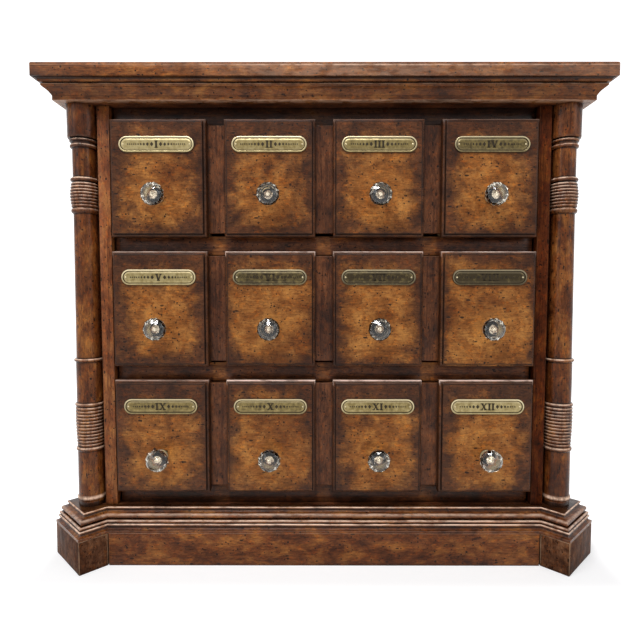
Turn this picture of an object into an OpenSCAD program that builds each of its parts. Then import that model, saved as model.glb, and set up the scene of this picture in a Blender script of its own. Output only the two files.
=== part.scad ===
// Low chest of three long drawers, each fronted by four raised panels,
// with turned corner columns on canted corner blocks, a coved cornice
// and a beaded base moulding. Millimetres, +Z up, front towards -Y.
// The origin is the middle of the footprint, on the floor.

/* [Carcass] */
// Clear width between the two front posts
opening_w = 730; // [690:1:760]
// Depth of the carcass from the stile faces to the back edge
carcass_d = 421; // [390:1:470]
// Width of a stile, seen from the front or from the side
stile_w = 20.5; // [17:0.5:26]
// How far the rails lie behind the faces of the stiles
rail_set_back = 12; // [9:0.5:16]
// Thickness of the rails, front to back
rail_t = 30; // [24:0.5:36]
// Height of the two rails between the drawers
rail_h = 33.8; // [24:0.2:44]
// Height of the rail under the bottom drawer
bottom_rail_h = 32; // [22:0.5:44]
// Height of the rail above the top drawer
top_rail_h = 32.3; // [22:0.1:44]
// Width of the shadow gap at each end of a rail
rail_gap_w = 3.5; // [1:0.25:5]
// Depth of the shadow gap at each end of a rail
rail_gap_d = 7; // [3:0.5:12]
// Thickness of the side panels
side_t = 18; // [14:0.5:22]
// How far the side panels lie behind the faces of the side stiles
side_set_back = 4; // [2:0.5:8]
// Length of the tongue that a side panel has in its post
tongue_l = 8; // [4:0.5:12]
// Thickness of that tongue
tongue_t = 8; // [5:0.5:10]
// Thickness of the back panel
back_t = 6; // [4:0.5:10]
// How far the back panel lies in from the back edges
back_recess = 3; // [2.5:0.25:6]
// Width of the rebate that takes the back panel
rebate_w = 9; // [7:0.5:12]
// Thickness of the board under the bottom drawer
deck_t = 18; // [12:0.5:24]

/* [Base] */
// Height of the plinth boards and corner blocks
plinth_h = 57; // [40:1:80]
// Thickness of the plinth boards and depth of the base moulding
plinth_t = 27; // [24:0.5:34]
// How far the plinth stands in front of the stiles
plinth_out = 25; // [20:0.5:26.5]
// How far a corner block leaves the plinth, along each axis
block_leg = 34; // [26:1:44]
// Where a corner block starts, inside the column's axis
block_start = 40.5; // [32:0.5:50]
// Width of the joint line between plinth and corner block
plinth_gap_w = 1.5; // [0.5:0.25:3]
// Depth of that joint line
plinth_gap_d = 6; // [3:0.5:10]
// Height of the base moulding
base_mould_h = 40; // [38:0.5:48]
// Height of the fillet at the foot of the base moulding
base_fillet_h = 4.5; // [2:0.1:6]
// Radius of the cove above that fillet
base_cove_r = 5.5; // [4:0.1:6]
// Radius of the first fine bead above the cove
fine_bead_r = 2.4; // [1.8:0.1:2.6]
// Radius of the second fine bead
second_bead_r = 2.7; // [2:0.1:3]
// Radius of the broad bead
broad_bead_r = 4.8; // [3.5:0.1:5]
// How far the broad bead's middle lies behind the plinth's face
broad_bead_in = 12; // [9:0.5:14]
// Radius of the worn upper edge
base_edge_r = 2; // [1:0.1:2.5]
// Size of the glue blocks that stiffen the base
glue_block_w = 25; // [16:1:32]
// Height of the glue blocks
glue_block_h = 45; // [30:1:56]
// Length of the glue blocks
glue_block_l = 70; // [40:1:110]

/* [Top] */
// Thickness of the top board
top_t = 22.5; // [18:0.5:32]
// How far the top board overhangs the stiles
top_out = 46; // [43:0.5:56]
// Rounding of the top board's upper edge
top_round = 4; // [2:0.5:7]
// Height of the cornice
cornice_h = 30; // [28:0.5:36]
// How far the cornice's lower edge stands in front of the stiles
cornice_foot_out = 23; // [18:0.5:26]
// Depth of the cornice at its lower edge
cornice_foot_d = 14; // [10:0.5:18]
// Height of the fillet at the foot of the cornice
cornice_fillet_h = 7; // [4:0.5:9]
// Radius of the cornice's wide cove
wide_cove_r = 24; // [12:0.5:40]
// Width of the wide cove, measured level
wide_cove_w = 9.8; // [8:0.1:11]
// Height of the wide cove
wide_cove_h = 10.5; // [8:0.1:12]
// Radius of the cornice's bead
cornice_bead_r = 3; // [2:0.1:3.4]
// Radius of the small cove under the top board
small_cove_r = 5; // [3:0.1:5.5]

/* [Columns] */
// How far the column's axis lies behind the stile's face
column_set_back = 11.5; // [9:0.5:16]
// Clearance from the column's axis to the post that it stands in
column_notch = 28; // [27.5:0.5:34]
// Radius of the capital at its top
capital_r = 26; // [25:0.1:27.2]
// Radius of the neck under the capital
neck_r = 18.8; // [17:0.1:20]
// Radius of the shaft just under the upper rings
shaft_top_r = 18.9; // [17:0.1:20.4]
// Radius of the shaft at its foot
shaft_foot_r = 20.5; // [18:0.1:21]
// Radius of the drum above the lower reeds
drum_r = 21.5; // [19:0.1:22.5]
// Radius of the drum that stands on the base
foot_drum_r = 22.6; // [20:0.1:23.4]
// Radius of the column's rings and beads at their widest
ring_r = 24.3; // [23.6:0.1:26]
// Height of the big ring above the column's foot
foot_ring_z = 14.3; // [10:0.1:24]
// Rounding of the big ring
foot_ring_bead = 6.2; // [4:0.1:7]
// Height of the bead under the lower reeds
low_bead_z = 101; // [80:0.5:120]
// Rounding of that bead
low_bead_r = 4; // [2:0.1:4.4]
// Height of the ring above the lower reeds, from the top reed to its middle
mid_ring_up = 4.2; // [3.4:0.1:8]
// Rounding of the ring above the lower reeds
mid_ring_bead = 3.2; // [2:0.1:4]
// Height of the drum between that ring and the next
drum_h = 78; // [50:1:100]
// Rounding of the ring at the top of the drum
fine_ring_bead = 2.8; // [2:0.1:4]
// How far the upper bead lies below the upper reeds
upper_bead_down = 5.3; // [4:0.1:12]
// Rounding of the upper bead
upper_bead_r = 5.2; // [3:0.1:5.2]
// How far the upper reeds start below the column's top
upper_reeds_down = 171; // [150:0.5:190]
// How far the collar lies below the column's top
collar_down = 123.8; // [105:0.2:125]
// Rounding of the collar
collar_bead = 3.3; // [2:0.1:4]
// How far the neck bead lies below the column's top
neck_bead_down = 67.5; // [64:0.1:75]
// Rounding of the neck bead
neck_bead_r = 3.2; // [2:0.1:4]
// Rounding of the small bead between the neck bead and the capital
capital_bead_r = 2.2; // [1.5:0.1:2.6]
// Height of the capital's drum
capital_h = 54.5; // [40:0.5:56]
// Number of reeds in the upper band
upper_reeds = 8; // [5:1:8]
// Distance between reeds in the upper band
upper_reed_pitch = 5.2; // [4.4:0.1:5.2]
// Number of reeds in the lower band
lower_reeds = 12; // [7:1:12]
// Distance between reeds in the lower band
lower_reed_pitch = 5.8; // [4.6:0.1:5.8]

/* [Drawer fronts] */
// Height of a raised panel
panel_h = 196; // [170:1:220]
// Width of the two inner panels
inner_panel_w = 153; // [140:1:160]
// How far the outer panels stop short of the drawer front's ends
panel_inset = 3.5; // [0:0.5:8]
// Space between two panels
panel_gap = 30; // [20:1:40]
// Thickness of a raised panel, back to face
panel_t = 19; // [16:0.5:22]
// Height of the step round the panel's face
panel_step_h = 5.3; // [3:0.1:6]
// Distance from the panel's edge to that step
panel_step_w = 4.3; // [4.2:0.1:7]
// Rounding of the panel's outer edge
panel_round = 4.2; // [2:0.1:4.2]
// Rounding of the edge round the panel's face
face_round = 2; // [1:0.1:2.8]
// How far a panel reaches above the drawer front
lip_top = 7; // [4:0.5:12]
// How far a panel reaches below the drawer front
lip_bottom = 8; // [4:0.5:12]
// Thickness of the drawer front behind the panels
front_t = 18; // [14:0.5:22]
// How far the drawer front lies behind the stiles' faces
front_set_back = 0; // [0:0.5:2]
// Side clearance of the drawer front
front_clear = 2; // [1:0.1:3]
// Gap between drawer front and the rail below it
gap_below = 4; // [2:0.1:6]
// Gap between drawer front and the rail above it
gap_above = 1.2; // [0.8:0.1:3]

/* [Drawer boxes] */
// Space between a closed drawer and the back panel
box_back_gap = 22.5; // [12:0.5:60]
// Thickness of the drawer sides and back
box_t = 12; // [9:0.5:16]
// Height of the drawer sides
box_h = 164; // [120:1:176]
// Thickness of the drawer bottom
box_bottom_t = 6; // [4:0.5:8]
// Height of the drawer bottom above the sides' lower edges
box_bottom_up = 12; // [10:0.5:18]
// Depth of the grooves that hold the drawer bottom
groove_d = 5; // [3:0.5:7]
// Clearance between a drawer side and its guide
guide_clear = 1; // [0.5:0.1:2]
// Clearance under the drawer sides
run_clear = 0.3; // [0.2:0.05:0.5]
// Number of dovetails at each corner of a drawer
tail_count = 4; // [2:1:5]
// Length of the dovetails in the drawer front
tail_l = 12; // [8:0.5:14]
// Width of a runner under the drawer side
runner_reach = 28; // [20:1:36]
// Thickness of a runner
runner_t = 22; // [14:1:26]
// Height of the guide strip on a runner
guide_h = 24; // [14:1:36]
// Thickness of the guide strip on a runner
guide_t = 16; // [10:1:24]
// Size of the little blocks that stop a closing drawer
stop_h = 8; // [6:0.5:9.5]

/* [Hardware] */
// Length of a label plate
plate_l = 125; // [100:1:135]
// Height of a label plate
plate_h = 26; // [20:0.5:32]
// Thickness of a label plate at its rim
plate_t = 2.4; // [1.8:0.1:3.4]
// Width of a plate's raised rim
plate_rim = 2.5; // [1.5:0.1:4]
// Width of the sunk line inside the rim
plate_line_w = 1.7; // [1:0.1:3]
// Depth of the sunk line
plate_line_d = 1.1; // [0.5:0.1:1.2]
// How far the plate's field lies below its rim
plate_field_d = 0.5; // [0.2:0.1:0.8]
// Height of the plate's centre above the panel's lower edge
plate_up = 152; // [140:1:160]
// Diameter of a glass knob
knob_d = 39; // [32:0.5:44]
// Height of the knob's centre above the panel's lower edge
knob_up = 66; // [50:1:90]
// How far the knob's widest part stands in front of the panel
knob_reach = 26; // [24:0.5:32]
// Length of the knob's glass behind its widest part
knob_belly = 15; // [11:0.5:18]
// Length of the knob's glass in front of its widest part
knob_crown = 12.5; // [8:0.5:16]
// Radius of the flat on a knob's front
knob_table_r = 8.5; // [5:0.5:12]
// Radius of the round brass foot under a knob
mount_foot_r = 11; // [8:0.5:14]
// Height of that foot
mount_foot_h = 2.5; // [1.5:0.25:4]
// Radius of the spigot that holds the glass
spigot_r = 5; // [3.5:0.25:6]
// Length of the spigot inside the glass
spigot_l = 6; // [4:0.5:9]
// Length of the bolt's thread inside the mount
bolt_grip = 8; // [5:0.5:12]
// Diameter of a bolt that holds a knob
bolt_d = 4; // [3:0.1:5]
// Radial clearance round the bolts and screws
bolt_clear = 0.2; // [0.1:0.05:0.4]
// Diameter of the screws in the back panel and the top
screw_d = 3.5; // [3:0.1:4.5]
// Length of the screws in the back panel
back_screw_l = 25; // [18:1:34]
// Length of the screws that hold the top board
top_screw_l = 36; // [30:1:40]

/* [Hidden] */

$fn = 64;
WALNUT = "#6b4226";
DARK_WALNUT = "#4a2c1a";
PANEL_WALNUT = "#7d4f2b";
DRAWER_WOOD = "#b08a5c";
BRASS = "#a58a4e";
GLASS = "#dfe6e4";
STEEL = "#8d8f90";

// Small overlap used only where one solid is cut by another
CUT = 1;

// Plan. Depths are measured behind the faces of the stiles, which lie at face_y.
opening_half = opening_w / 2;
column_x = opening_half + stile_w + column_notch;
side_x = column_x + column_set_back;
block_nose = column_set_back + plinth_out + block_leg;
face_y = -(carcass_d - block_nose + column_set_back) / 2;
column_y = face_y + column_set_back;
back_y = face_y + carcass_d;
back_face_y = back_y - back_recess;
notch_depth = column_set_back + column_notch;
post_depth = notch_depth + stile_w;
plinth_from_axis = column_set_back + plinth_out;
inner_from_axis = plinth_from_axis - plinth_t;
side_panel_x = side_x - side_set_back;
side_inner_x = side_panel_x - side_t;
rail_back = rail_set_back + rail_t;

// Heights
base_z = plinth_h + base_mould_h;
board_h = panel_h - lip_top - lip_bottom;
opening_h = board_h + gap_below + gap_above;
pitch = opening_h + rail_h;
first_rail_z = base_z + bottom_rail_h;
top_rail_z = first_rail_z + 2 * pitch + opening_h;
carcass_top_z = top_rail_z + top_rail_h;
top_z = carcass_top_z + cornice_h;
function sill_z(row) = first_rail_z + row * pitch;

// Drawer
front_half = opening_half - front_clear;
outer_panel_w = front_half - panel_inset - panel_gap * 3 / 2 - inner_panel_w;
inner_panel_x = panel_gap / 2 + inner_panel_w / 2;
outer_panel_x = front_half - panel_inset - outer_panel_w / 2;
panel_x = [-outer_panel_x, -inner_panel_x, inner_panel_x, outer_panel_x];
panel_w = [outer_panel_w, inner_panel_w, inner_panel_w, outer_panel_w];
panel_back_y = face_y + front_set_back;
panel_face_y = panel_back_y - panel_t;
front_back_y = panel_back_y + front_t;
box_side_x = opening_half - front_clear - guide_clear;
box_end_y = back_face_y - back_t - box_back_gap;
function front_z(row) = sill_z(row) + gap_below;
function panel_z(row) = front_z(row) - lip_bottom;
function box_z(row) = sill_z(row) + run_clear;

// Bars and plates

// A bar along X whose outline is drawn in depth and height
module along_x(x0, x1) {
    translate([x0, 0, 0]) rotate([90, 0, 90]) linear_extrude(x1 - x0) children();
}

// A bar along Y whose outline is drawn in x and height
module along_y(y0, y1) {
    translate([0, y1, 0]) rotate([90, 0, 0]) linear_extrude(y1 - y0) children();
}

// A block between two corners
module block(low, high) {
    translate(low) cube(high - low);
}

// Both hands of something drawn on the right
module pair() {
    children();
    mirror([1, 0, 0]) children();
}

// A flat bar with its two upper corners rounded
module eased_bar(w, h, r) {
    translate([-w / 2, 0]) square([w, h - r]);
    translate([-w / 2 + r, 0]) square([w - 2 * r, h]);
    for (side = [-1, 1]) translate([side * (w / 2 - r), h - r]) circle(r);
}

// Top

module top_board() {
    w = 2 * (side_x + top_out);
    front = face_y - top_out;
    middle = (front + back_y) / 2;
    reach = back_y - front;
    color(WALNUT) difference() {
        intersection() {
            translate([0, 0, top_z]) along_y(front, back_y) eased_bar(w, top_t, top_round);
            translate([0, middle + top_round, top_z]) along_x(-w, w)
                eased_bar(reach + 2 * top_round, top_t, top_round);
        }
        top_screw_places() cylinder(r = screw_d / 2 + bolt_clear, h = top_screw_l + CUT);
    }
}

module sub_top() {
    half = side_x + cornice_foot_out - cornice_foot_d;
    color(DARK_WALNUT) difference() {
        block([-half, face_y - cornice_foot_out + cornice_foot_d, carcass_top_z],
            [half, back_y, top_z]);
        block([-side_inner_x - rebate_w, back_face_y - back_t, carcass_top_z - CUT],
            [side_inner_x + rebate_w, back_y + CUT, carcass_top_z + rebate_w]);
        top_screw_places() translate([0, 0, -CUT])
            cylinder(r = screw_d / 2 + bolt_clear, h = cornice_h + 2 * CUT);
    }
}

// Cornice outline: x is the distance in from the top board's edge.
// From the bottom: a fillet, a wide cove, an astragal and a small cove.
module cornice_outline() {
    foot_in = top_out - cornice_foot_out;
    back_in = foot_in + cornice_foot_d;
    bead_in = foot_in - wide_cove_w;
    cove_top = cornice_fillet_h + wide_cove_h;
    chord = norm([wide_cove_w, wide_cove_h]);
    reach = sqrt(wide_cove_r * wide_cove_r - chord * chord / 4) / chord;
    bead_z = cove_top + cornice_bead_r * 1.13;
    neck_z = cornice_h - small_cove_r * 1.12;
    neck_in = bead_in - 2 * small_cove_r;
    difference() {
        union() {
            translate([foot_in, 0]) square([cornice_foot_d, cornice_h]);
            translate([bead_in, cornice_fillet_h])
                square([back_in - bead_in, cornice_h - cornice_fillet_h]);
            translate([neck_in, neck_z])
                square([2 * small_cove_r + CUT, cornice_h - neck_z]);
        }
        intersection() {
            translate([bead_in + wide_cove_w / 2 - reach * wide_cove_h,
                cove_top - wide_cove_h / 2 - reach * wide_cove_w])
                circle(wide_cove_r, $fn = 128);
            translate([0, cornice_fillet_h]) square(2 * wide_cove_r);
        }
        translate([neck_in, neck_z]) circle(small_cove_r);
    }
    translate([bead_in + cornice_bead_r * 0.2, bead_z]) circle(cornice_bead_r);
}

// Plan of one mitred run of moulding: it keeps what lies outside both diagonals
module front_mitre(half, front, reach, z0, z1) {
    translate([0, 0, z0]) linear_extrude(z1 - z0)
        polygon([[-half, front], [half, front], [half - reach, front + reach],
            [-half + reach, front + reach]]);
}

module front_cornice() {
    half = side_x + top_out;
    front = face_y - top_out;
    reach = top_out - cornice_foot_out + cornice_foot_d;
    color(WALNUT) intersection() {
        translate([0, front, carcass_top_z]) along_x(-half, half) cornice_outline();
        front_mitre(half, front, reach, carcass_top_z, top_z);
    }
}

module side_cornice() {
    half = side_x + top_out;
    front = face_y - top_out;
    reach = top_out - cornice_foot_out + cornice_foot_d;
    color(WALNUT) intersection() {
        translate([half, 0, carcass_top_z]) mirror([1, 0, 0])
            along_y(front, back_y) cornice_outline();
        translate([0, 0, carcass_top_z]) linear_extrude(cornice_h)
            polygon([[half, front], [half, back_y], [half - reach, back_y],
                [half - reach, front + reach]]);
    }
}

module right_cornice() {
    side_cornice();
}

module left_cornice() {
    mirror([1, 0, 0]) side_cornice();
}

// Columns. Heights run up from the column's foot.

column_h = carcass_top_z - base_z;
reeds_foot_z = low_bead_z + low_bead_r * 1.1;
low_reeds_top = reeds_foot_z + lower_reeds * lower_reed_pitch;
mid_ring_z = low_reeds_top + mid_ring_up;
drum_ring_z = mid_ring_z + drum_h;
upper_reeds_z = column_h - upper_reeds_down;
upper_reeds_top = upper_reeds_z + upper_reeds * upper_reed_pitch;
upper_bead_z = upper_reeds_z - upper_bead_down;
collar_z = column_h - collar_down;
neck_bead_z = column_h - neck_bead_down;
capital_z = column_h - capital_h;

// A turned cone between two heights
module turned(z0, r0, z1, r1) {
    polygon([[0, z0], [r0, z0], [r1, z1], [0, z1]]);
}

// A rounded ring that stands out to the given radius
module ring(z, outer, bead) {
    translate([outer - bead, z]) circle(bead);
}

// A band of reeds on a core; their outer radius follows a swelling curve
module reeds(z0, count, step, r, swell, start, sweep) {
    bead = step * 0.54;
    turned(z0, r - bead * 0.75, z0 + count * step, r - bead * 0.75);
    for (i = [0 : count - 1])
        ring(z0 + step * (i + 0.5), r + swell * sin(start + sweep * i / (count - 1)), bead);
}

module column_outline() {
    small_ring_r = ring_r * 0.926;
    swell = ring_r - foot_drum_r;
    turned(0, foot_drum_r, low_bead_z, foot_drum_r * 0.98);
    ring(foot_ring_z, ring_r, foot_ring_bead);
    ring(low_bead_z, ring_r, low_bead_r);
    turned(low_bead_z, foot_drum_r * 0.91, reeds_foot_z, foot_drum_r * 0.91);
    reeds(reeds_foot_z, lower_reeds, lower_reed_pitch, foot_drum_r, swell, 0, 120);
    turned(low_reeds_top, drum_r, drum_ring_z, drum_r);
    ring(mid_ring_z, ring_r * 1.008, mid_ring_bead);
    ring(drum_ring_z, ring_r, fine_ring_bead);
    turned(drum_ring_z, shaft_foot_r, upper_bead_z, shaft_top_r);
    ring(upper_bead_z, small_ring_r, upper_bead_r);
    turned(upper_bead_z, shaft_top_r, upper_reeds_z, shaft_top_r);
    reeds(upper_reeds_z, upper_reeds, upper_reed_pitch, small_ring_r * 0.982, swell, 0, 180);
    turned(upper_reeds_top, neck_r, neck_bead_z, neck_r);
    ring(collar_z, small_ring_r * 1.013, collar_bead);
    ring(neck_bead_z, small_ring_r * 0.99, neck_bead_r);
    turned(neck_bead_z, small_ring_r * 0.9, capital_z, small_ring_r * 0.9);
    ring(capital_z - capital_bead_r * 1.8, small_ring_r * 1.01, capital_bead_r);
    turned(capital_z, capital_r * 0.95, capital_z + capital_bead_r, capital_r * 0.985);
    turned(capital_z + capital_bead_r, capital_r * 0.985, column_h, capital_r);
}

module column() {
    color(WALNUT) translate([column_x, column_y, base_z])
        rotate_extrude($fn = 96) column_outline();
}

module right_column() {
    column();
}

module left_column() {
    mirror([1, 0, 0]) column();
}

// Posts and panels

module post() {
    inner = opening_half;
    outer = opening_half + stile_w;
    groove_x = side_panel_x - (side_t + tongue_t) / 2;
    color(WALNUT) difference() {
        translate([0, face_y, base_z]) linear_extrude(column_h)
            polygon([[inner, 0], [outer, 0], [outer, notch_depth], [side_x, notch_depth],
                [side_x, post_depth], [inner, post_depth]]);
        block([groove_x, face_y + post_depth - tongue_l, base_z - CUT],
            [groove_x + tongue_t, face_y + post_depth + CUT, carcass_top_z + CUT]);
    }
}

module right_post() {
    post();
}

module left_post() {
    mirror([1, 0, 0]) post();
}

module side_panel() {
    groove_x = side_panel_x - (side_t + tongue_t) / 2;
    color(WALNUT) difference() {
        union() {
            block([side_inner_x, face_y + post_depth, base_z],
                [side_panel_x, back_y, carcass_top_z]);
            block([groove_x, face_y + post_depth - tongue_l, base_z],
                [groove_x + tongue_t, face_y + post_depth + CUT, carcass_top_z]);
        }
        block([side_inner_x - CUT, back_face_y - back_t, base_z - CUT],
            [side_inner_x + rebate_w, back_y + CUT, carcass_top_z + CUT]);
        back_screw_places() screw_pilot(back_screw_l);
    }
}

module right_side_panel() {
    side_panel();
}

module left_side_panel() {
    mirror([1, 0, 0]) side_panel();
}

module back_panel() {
    color(DRAWER_WOOD) difference() {
        block([-side_inner_x - rebate_w, back_face_y - back_t, base_z],
            [side_inner_x + rebate_w, back_face_y, carcass_top_z + rebate_w]);
        back_screw_places() screw_pilot(back_screw_l);
    }
}

// A rail from post to post, with a shadow gap at each end of its face
module rail(z, h) {
    color(DARK_WALNUT) difference() {
        block([-opening_half, face_y + rail_set_back, z],
            [opening_half, face_y + rail_back, z + h]);
        pair() block([opening_half - rail_gap_w, face_y + rail_set_back - CUT, z - CUT],
            [opening_half + CUT, face_y + rail_set_back + rail_gap_d, z + h + CUT]);
    }
}

module top_rail() {
    rail(top_rail_z, top_rail_h);
}

module upper_rail() {
    rail(sill_z(2) - rail_h, rail_h);
}

module lower_rail() {
    rail(sill_z(1) - rail_h, rail_h);
}

module bottom_rail() {
    rail(base_z, bottom_rail_h);
}

// Drawer supports

module runner(z) {
    inner = box_side_x - box_t / 2 - runner_reach / 2;
    guide = box_side_x + guide_clear;
    along_y(face_y + post_depth, back_face_y - back_t) translate([0, z])
        polygon([[inner, -runner_t], [side_inner_x, -runner_t], [side_inner_x, 0],
            [guide + guide_t, 0], [guide + guide_t, guide_h], [guide, guide_h],
            [guide, 0], [inner, 0]]);
}

module drawer_runners() {
    color(DRAWER_WOOD) pair() for (row = [0 : 2]) runner(sill_z(row));
}

module drawer_stops() {
    stop_x = front_half * 0.55;
    stop_w = 30;
    stop_d = face_y + rail_back - front_back_y;
    color(DRAWER_WOOD) pair() for (row = [0 : 2])
        block([stop_x, front_back_y + run_clear, sill_z(row)],
            [stop_x + stop_w, front_back_y + stop_d, sill_z(row) + stop_h]);
}

module bottom_board() {
    half = column_x + inner_from_axis;
    color(DARK_WALNUT) block([-half, column_y - inner_from_axis, base_z - deck_t],
        [half, back_y, base_z]);
}

// Base

module front_plinth() {
    half = column_x - block_start;
    front = face_y - plinth_out;
    color(WALNUT) difference() {
        block([-half, front, 0], [half, front + plinth_t, plinth_h]);
        pair() block([half - plinth_gap_w, front - CUT, -CUT],
            [half + CUT, front + plinth_gap_d, plinth_h + CUT]);
    }
}

module side_plinth() {
    x = column_x + plinth_from_axis;
    front = column_y + block_start;
    color(WALNUT) difference() {
        block([x - plinth_t, front, 0], [x, back_y, plinth_h]);
        block([x - plinth_gap_d, front - CUT, -CUT],
            [x + CUT, front + plinth_gap_w, plinth_h + CUT]);
    }
}

module right_plinth() {
    side_plinth();
}

module left_plinth() {
    mirror([1, 0, 0]) side_plinth();
}

module back_plinth() {
    half = column_x + plinth_from_axis - plinth_t;
    color(DARK_WALNUT) block([-half, back_y - plinth_t, 0],
        [half, back_y, base_z - deck_t]);
}

// Plan of a corner block, drawn about the column's axis, front towards +Y.
// The mitre term slopes the two ends that meet the mouldings.
module corner_plan(mitre) {
    a = plinth_from_axis;
    b = inner_from_axis;
    s = block_start;
    m = mitre * plinth_t * tan(22.5);
    polygon([[-s, a], [-s + block_leg, a + block_leg], [a + block_leg, -s + block_leg],
        [a, -s], [b, -s + m], [b, b], [-s + m, b]]);
}

// Places something drawn about the column's axis, front towards +Y
module at_corner(z) {
    translate([column_x, column_y, z]) mirror([0, 1, 0]) children();
}

module corner_block() {
    color(WALNUT) at_corner(0) linear_extrude(plinth_h) corner_plan(0);
}

module right_corner_block() {
    corner_block();
}

module left_corner_block() {
    mirror([1, 0, 0]) corner_block();
}

// Base moulding outline: x is the distance in from the plinth's face
module base_outline() {
    first_z = base_fillet_h + base_cove_r + fine_bead_r;
    second_in = base_cove_r * 1.3;
    second_z = first_z + fine_bead_r * 1.2 + second_bead_r;
    second_top = second_z + second_bead_r;
    broad_z = second_top + broad_bead_r * 1.17;
    shelf_z = broad_z + broad_bead_r;
    edge_z = base_mould_h - base_edge_r;
    top_cove_r = edge_z - base_edge_r - shelf_z;
    edge_in = broad_bead_in + top_cove_r;
    square([plinth_t, base_fillet_h]);
    difference() {
        square([plinth_t, base_fillet_h + base_cove_r]);
        translate([0, base_fillet_h + base_cove_r]) circle(base_cove_r);
    }
    translate([base_cove_r, 0]) square([plinth_t - base_cove_r, first_z + fine_bead_r]);
    translate([base_cove_r, first_z]) circle(fine_bead_r);
    translate([second_in, 0]) square([plinth_t - second_in, second_top]);
    translate([second_in, second_z]) circle(second_bead_r);
    translate([broad_bead_in, 0]) square([plinth_t - broad_bead_in, shelf_z]);
    translate([broad_bead_in, broad_z]) circle(broad_bead_r);
    difference() {
        translate([broad_bead_in, shelf_z])
            square([plinth_t - broad_bead_in, base_mould_h - shelf_z]);
        translate([broad_bead_in, edge_z - base_edge_r]) circle(top_cove_r);
        translate([broad_bead_in - CUT, edge_z - base_edge_r])
            square([top_cove_r + CUT, 2 * base_edge_r + CUT]);
    }
    translate([edge_in, edge_z]) circle(base_edge_r);
}

// The moulding's outline swept along a face at the given angle round the axis
module canted_run(angle, out) {
    reach = 2 * (block_start + block_leg);
    rotate(angle) translate([0, out, 0]) mirror([0, 1, 0])
        along_x(-reach, reach) {
            base_outline();
            translate([plinth_t - CUT, 0]) square([reach, base_mould_h]);
        }
}

module corner_cap() {
    nose_out = (2 * block_leg + plinth_from_axis - block_start) / sqrt(2);
    flank_out = (plinth_from_axis + block_start) / sqrt(2);
    color(WALNUT) at_corner(plinth_h) intersection() {
        linear_extrude(base_mould_h) corner_plan(1);
        canted_run(-45, nose_out);
        canted_run(45, flank_out);
        canted_run(-135, flank_out);
    }
}

module right_corner_cap() {
    corner_cap();
}

module left_corner_cap() {
    mirror([1, 0, 0]) corner_cap();
}

module front_base_moulding() {
    half = column_x - block_start;
    front = face_y - plinth_out;
    mitre = plinth_t * tan(22.5);
    color(WALNUT) intersection() {
        translate([0, front, plinth_h]) along_x(-half - mitre, half + mitre) base_outline();
        translate([0, front, plinth_h]) linear_extrude(base_mould_h)
            polygon([[-half, 0], [half, 0], [half + mitre, plinth_t],
                [-half - mitre, plinth_t]]);
    }
}

module side_base_moulding() {
    x = column_x + plinth_from_axis;
    front = column_y + block_start;
    mitre = plinth_t * tan(22.5);
    color(WALNUT) intersection() {
        translate([x, 0, plinth_h]) mirror([1, 0, 0])
            along_y(front - mitre, back_y) base_outline();
        translate([0, 0, plinth_h]) linear_extrude(base_mould_h)
            polygon([[x, front], [x, back_y], [x - plinth_t, back_y],
                [x - plinth_t, front - mitre]]);
    }
}

module right_base_moulding() {
    side_base_moulding();
}

module left_base_moulding() {
    mirror([1, 0, 0]) side_base_moulding();
}

module glue_block() {
    top = base_z - deck_t;
    along_x(-glue_block_l / 2, glue_block_l / 2)
        polygon([[0, top], [glue_block_w, top], [0, top - glue_block_h]]);
}

module glue_blocks() {
    inner_x = column_x + inner_from_axis;
    color(DRAWER_WOOD) pair() {
        for (share = [0.2, 0.7])
            translate([share * inner_x, column_y - inner_from_axis, 0]) glue_block();
        for (share = [0.3, 0.7])
            translate([inner_x, column_y + share * carcass_d, 0]) rotate(90) glue_block();
    }
}

// Screws

// A screw lying along +Y from its head at the origin, pointing to -Y
module screw_body(length, r) {
    rotate([90, 0, 0]) cylinder(r = r, h = length);
}

module screw_pilot(length) {
    translate([0, CUT, 0]) screw_body(length + 2 * CUT, screw_d / 2 + bolt_clear);
}

module back_screw_places() {
    inset = rebate_w / 2;
    x = side_inner_x + inset;
    rows = 4;
    for (i = [0 : rows - 1])
        for (side = [-1, 1])
            translate([side * x, back_face_y, base_z + column_h * (i + 0.5) / rows])
                children();
}

module back_screws() {
    head_r = screw_d;
    head_h = screw_d * 0.6;
    color(STEEL) back_screw_places() {
        screw_body(back_screw_l, screw_d / 2);
        translate([0, head_h, 0]) screw_body(head_h, head_r);
    }
}

module top_screw_places() {
    for (x = [-0.8, 0, 0.8])
        for (depth = [0.15, 0.85])
            translate([x * opening_half, face_y + depth * carcass_d, carcass_top_z]) children();
}

module top_screws() {
    head_r = screw_d;
    head_h = screw_d * 0.6;
    color(STEEL) top_screw_places() {
        cylinder(r = screw_d / 2, h = top_screw_l);
        translate([0, 0, -head_h]) cylinder(r = head_r, h = head_h);
    }
}

// Drawers

// Places something at each knob's centre on the panels' faces
module knob_places(row) {
    for (x = panel_x)
        translate([x, panel_face_y, panel_z(row) + knob_up]) children();
}

module bolt_hole() {
    translate([0, panel_t + front_t + CUT, 0]) rotate([90, 0, 0])
        cylinder(r = bolt_d / 2 + bolt_clear, h = panel_t + front_t + 2 * CUT);
}

// A row of dovetails that point to -Y from the origin, in depth and height
module tail_row(h, l) {
    step = h / tail_count;
    root = step * 0.32;
    tip = root + l * 0.17;
    for (i = [0 : tail_count - 1]) translate([0, step * (i + 0.5)])
        polygon([[CUT, -root], [0, -root], [-l, -tip], [-l, tip], [0, root], [CUT, root]]);
}

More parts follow.
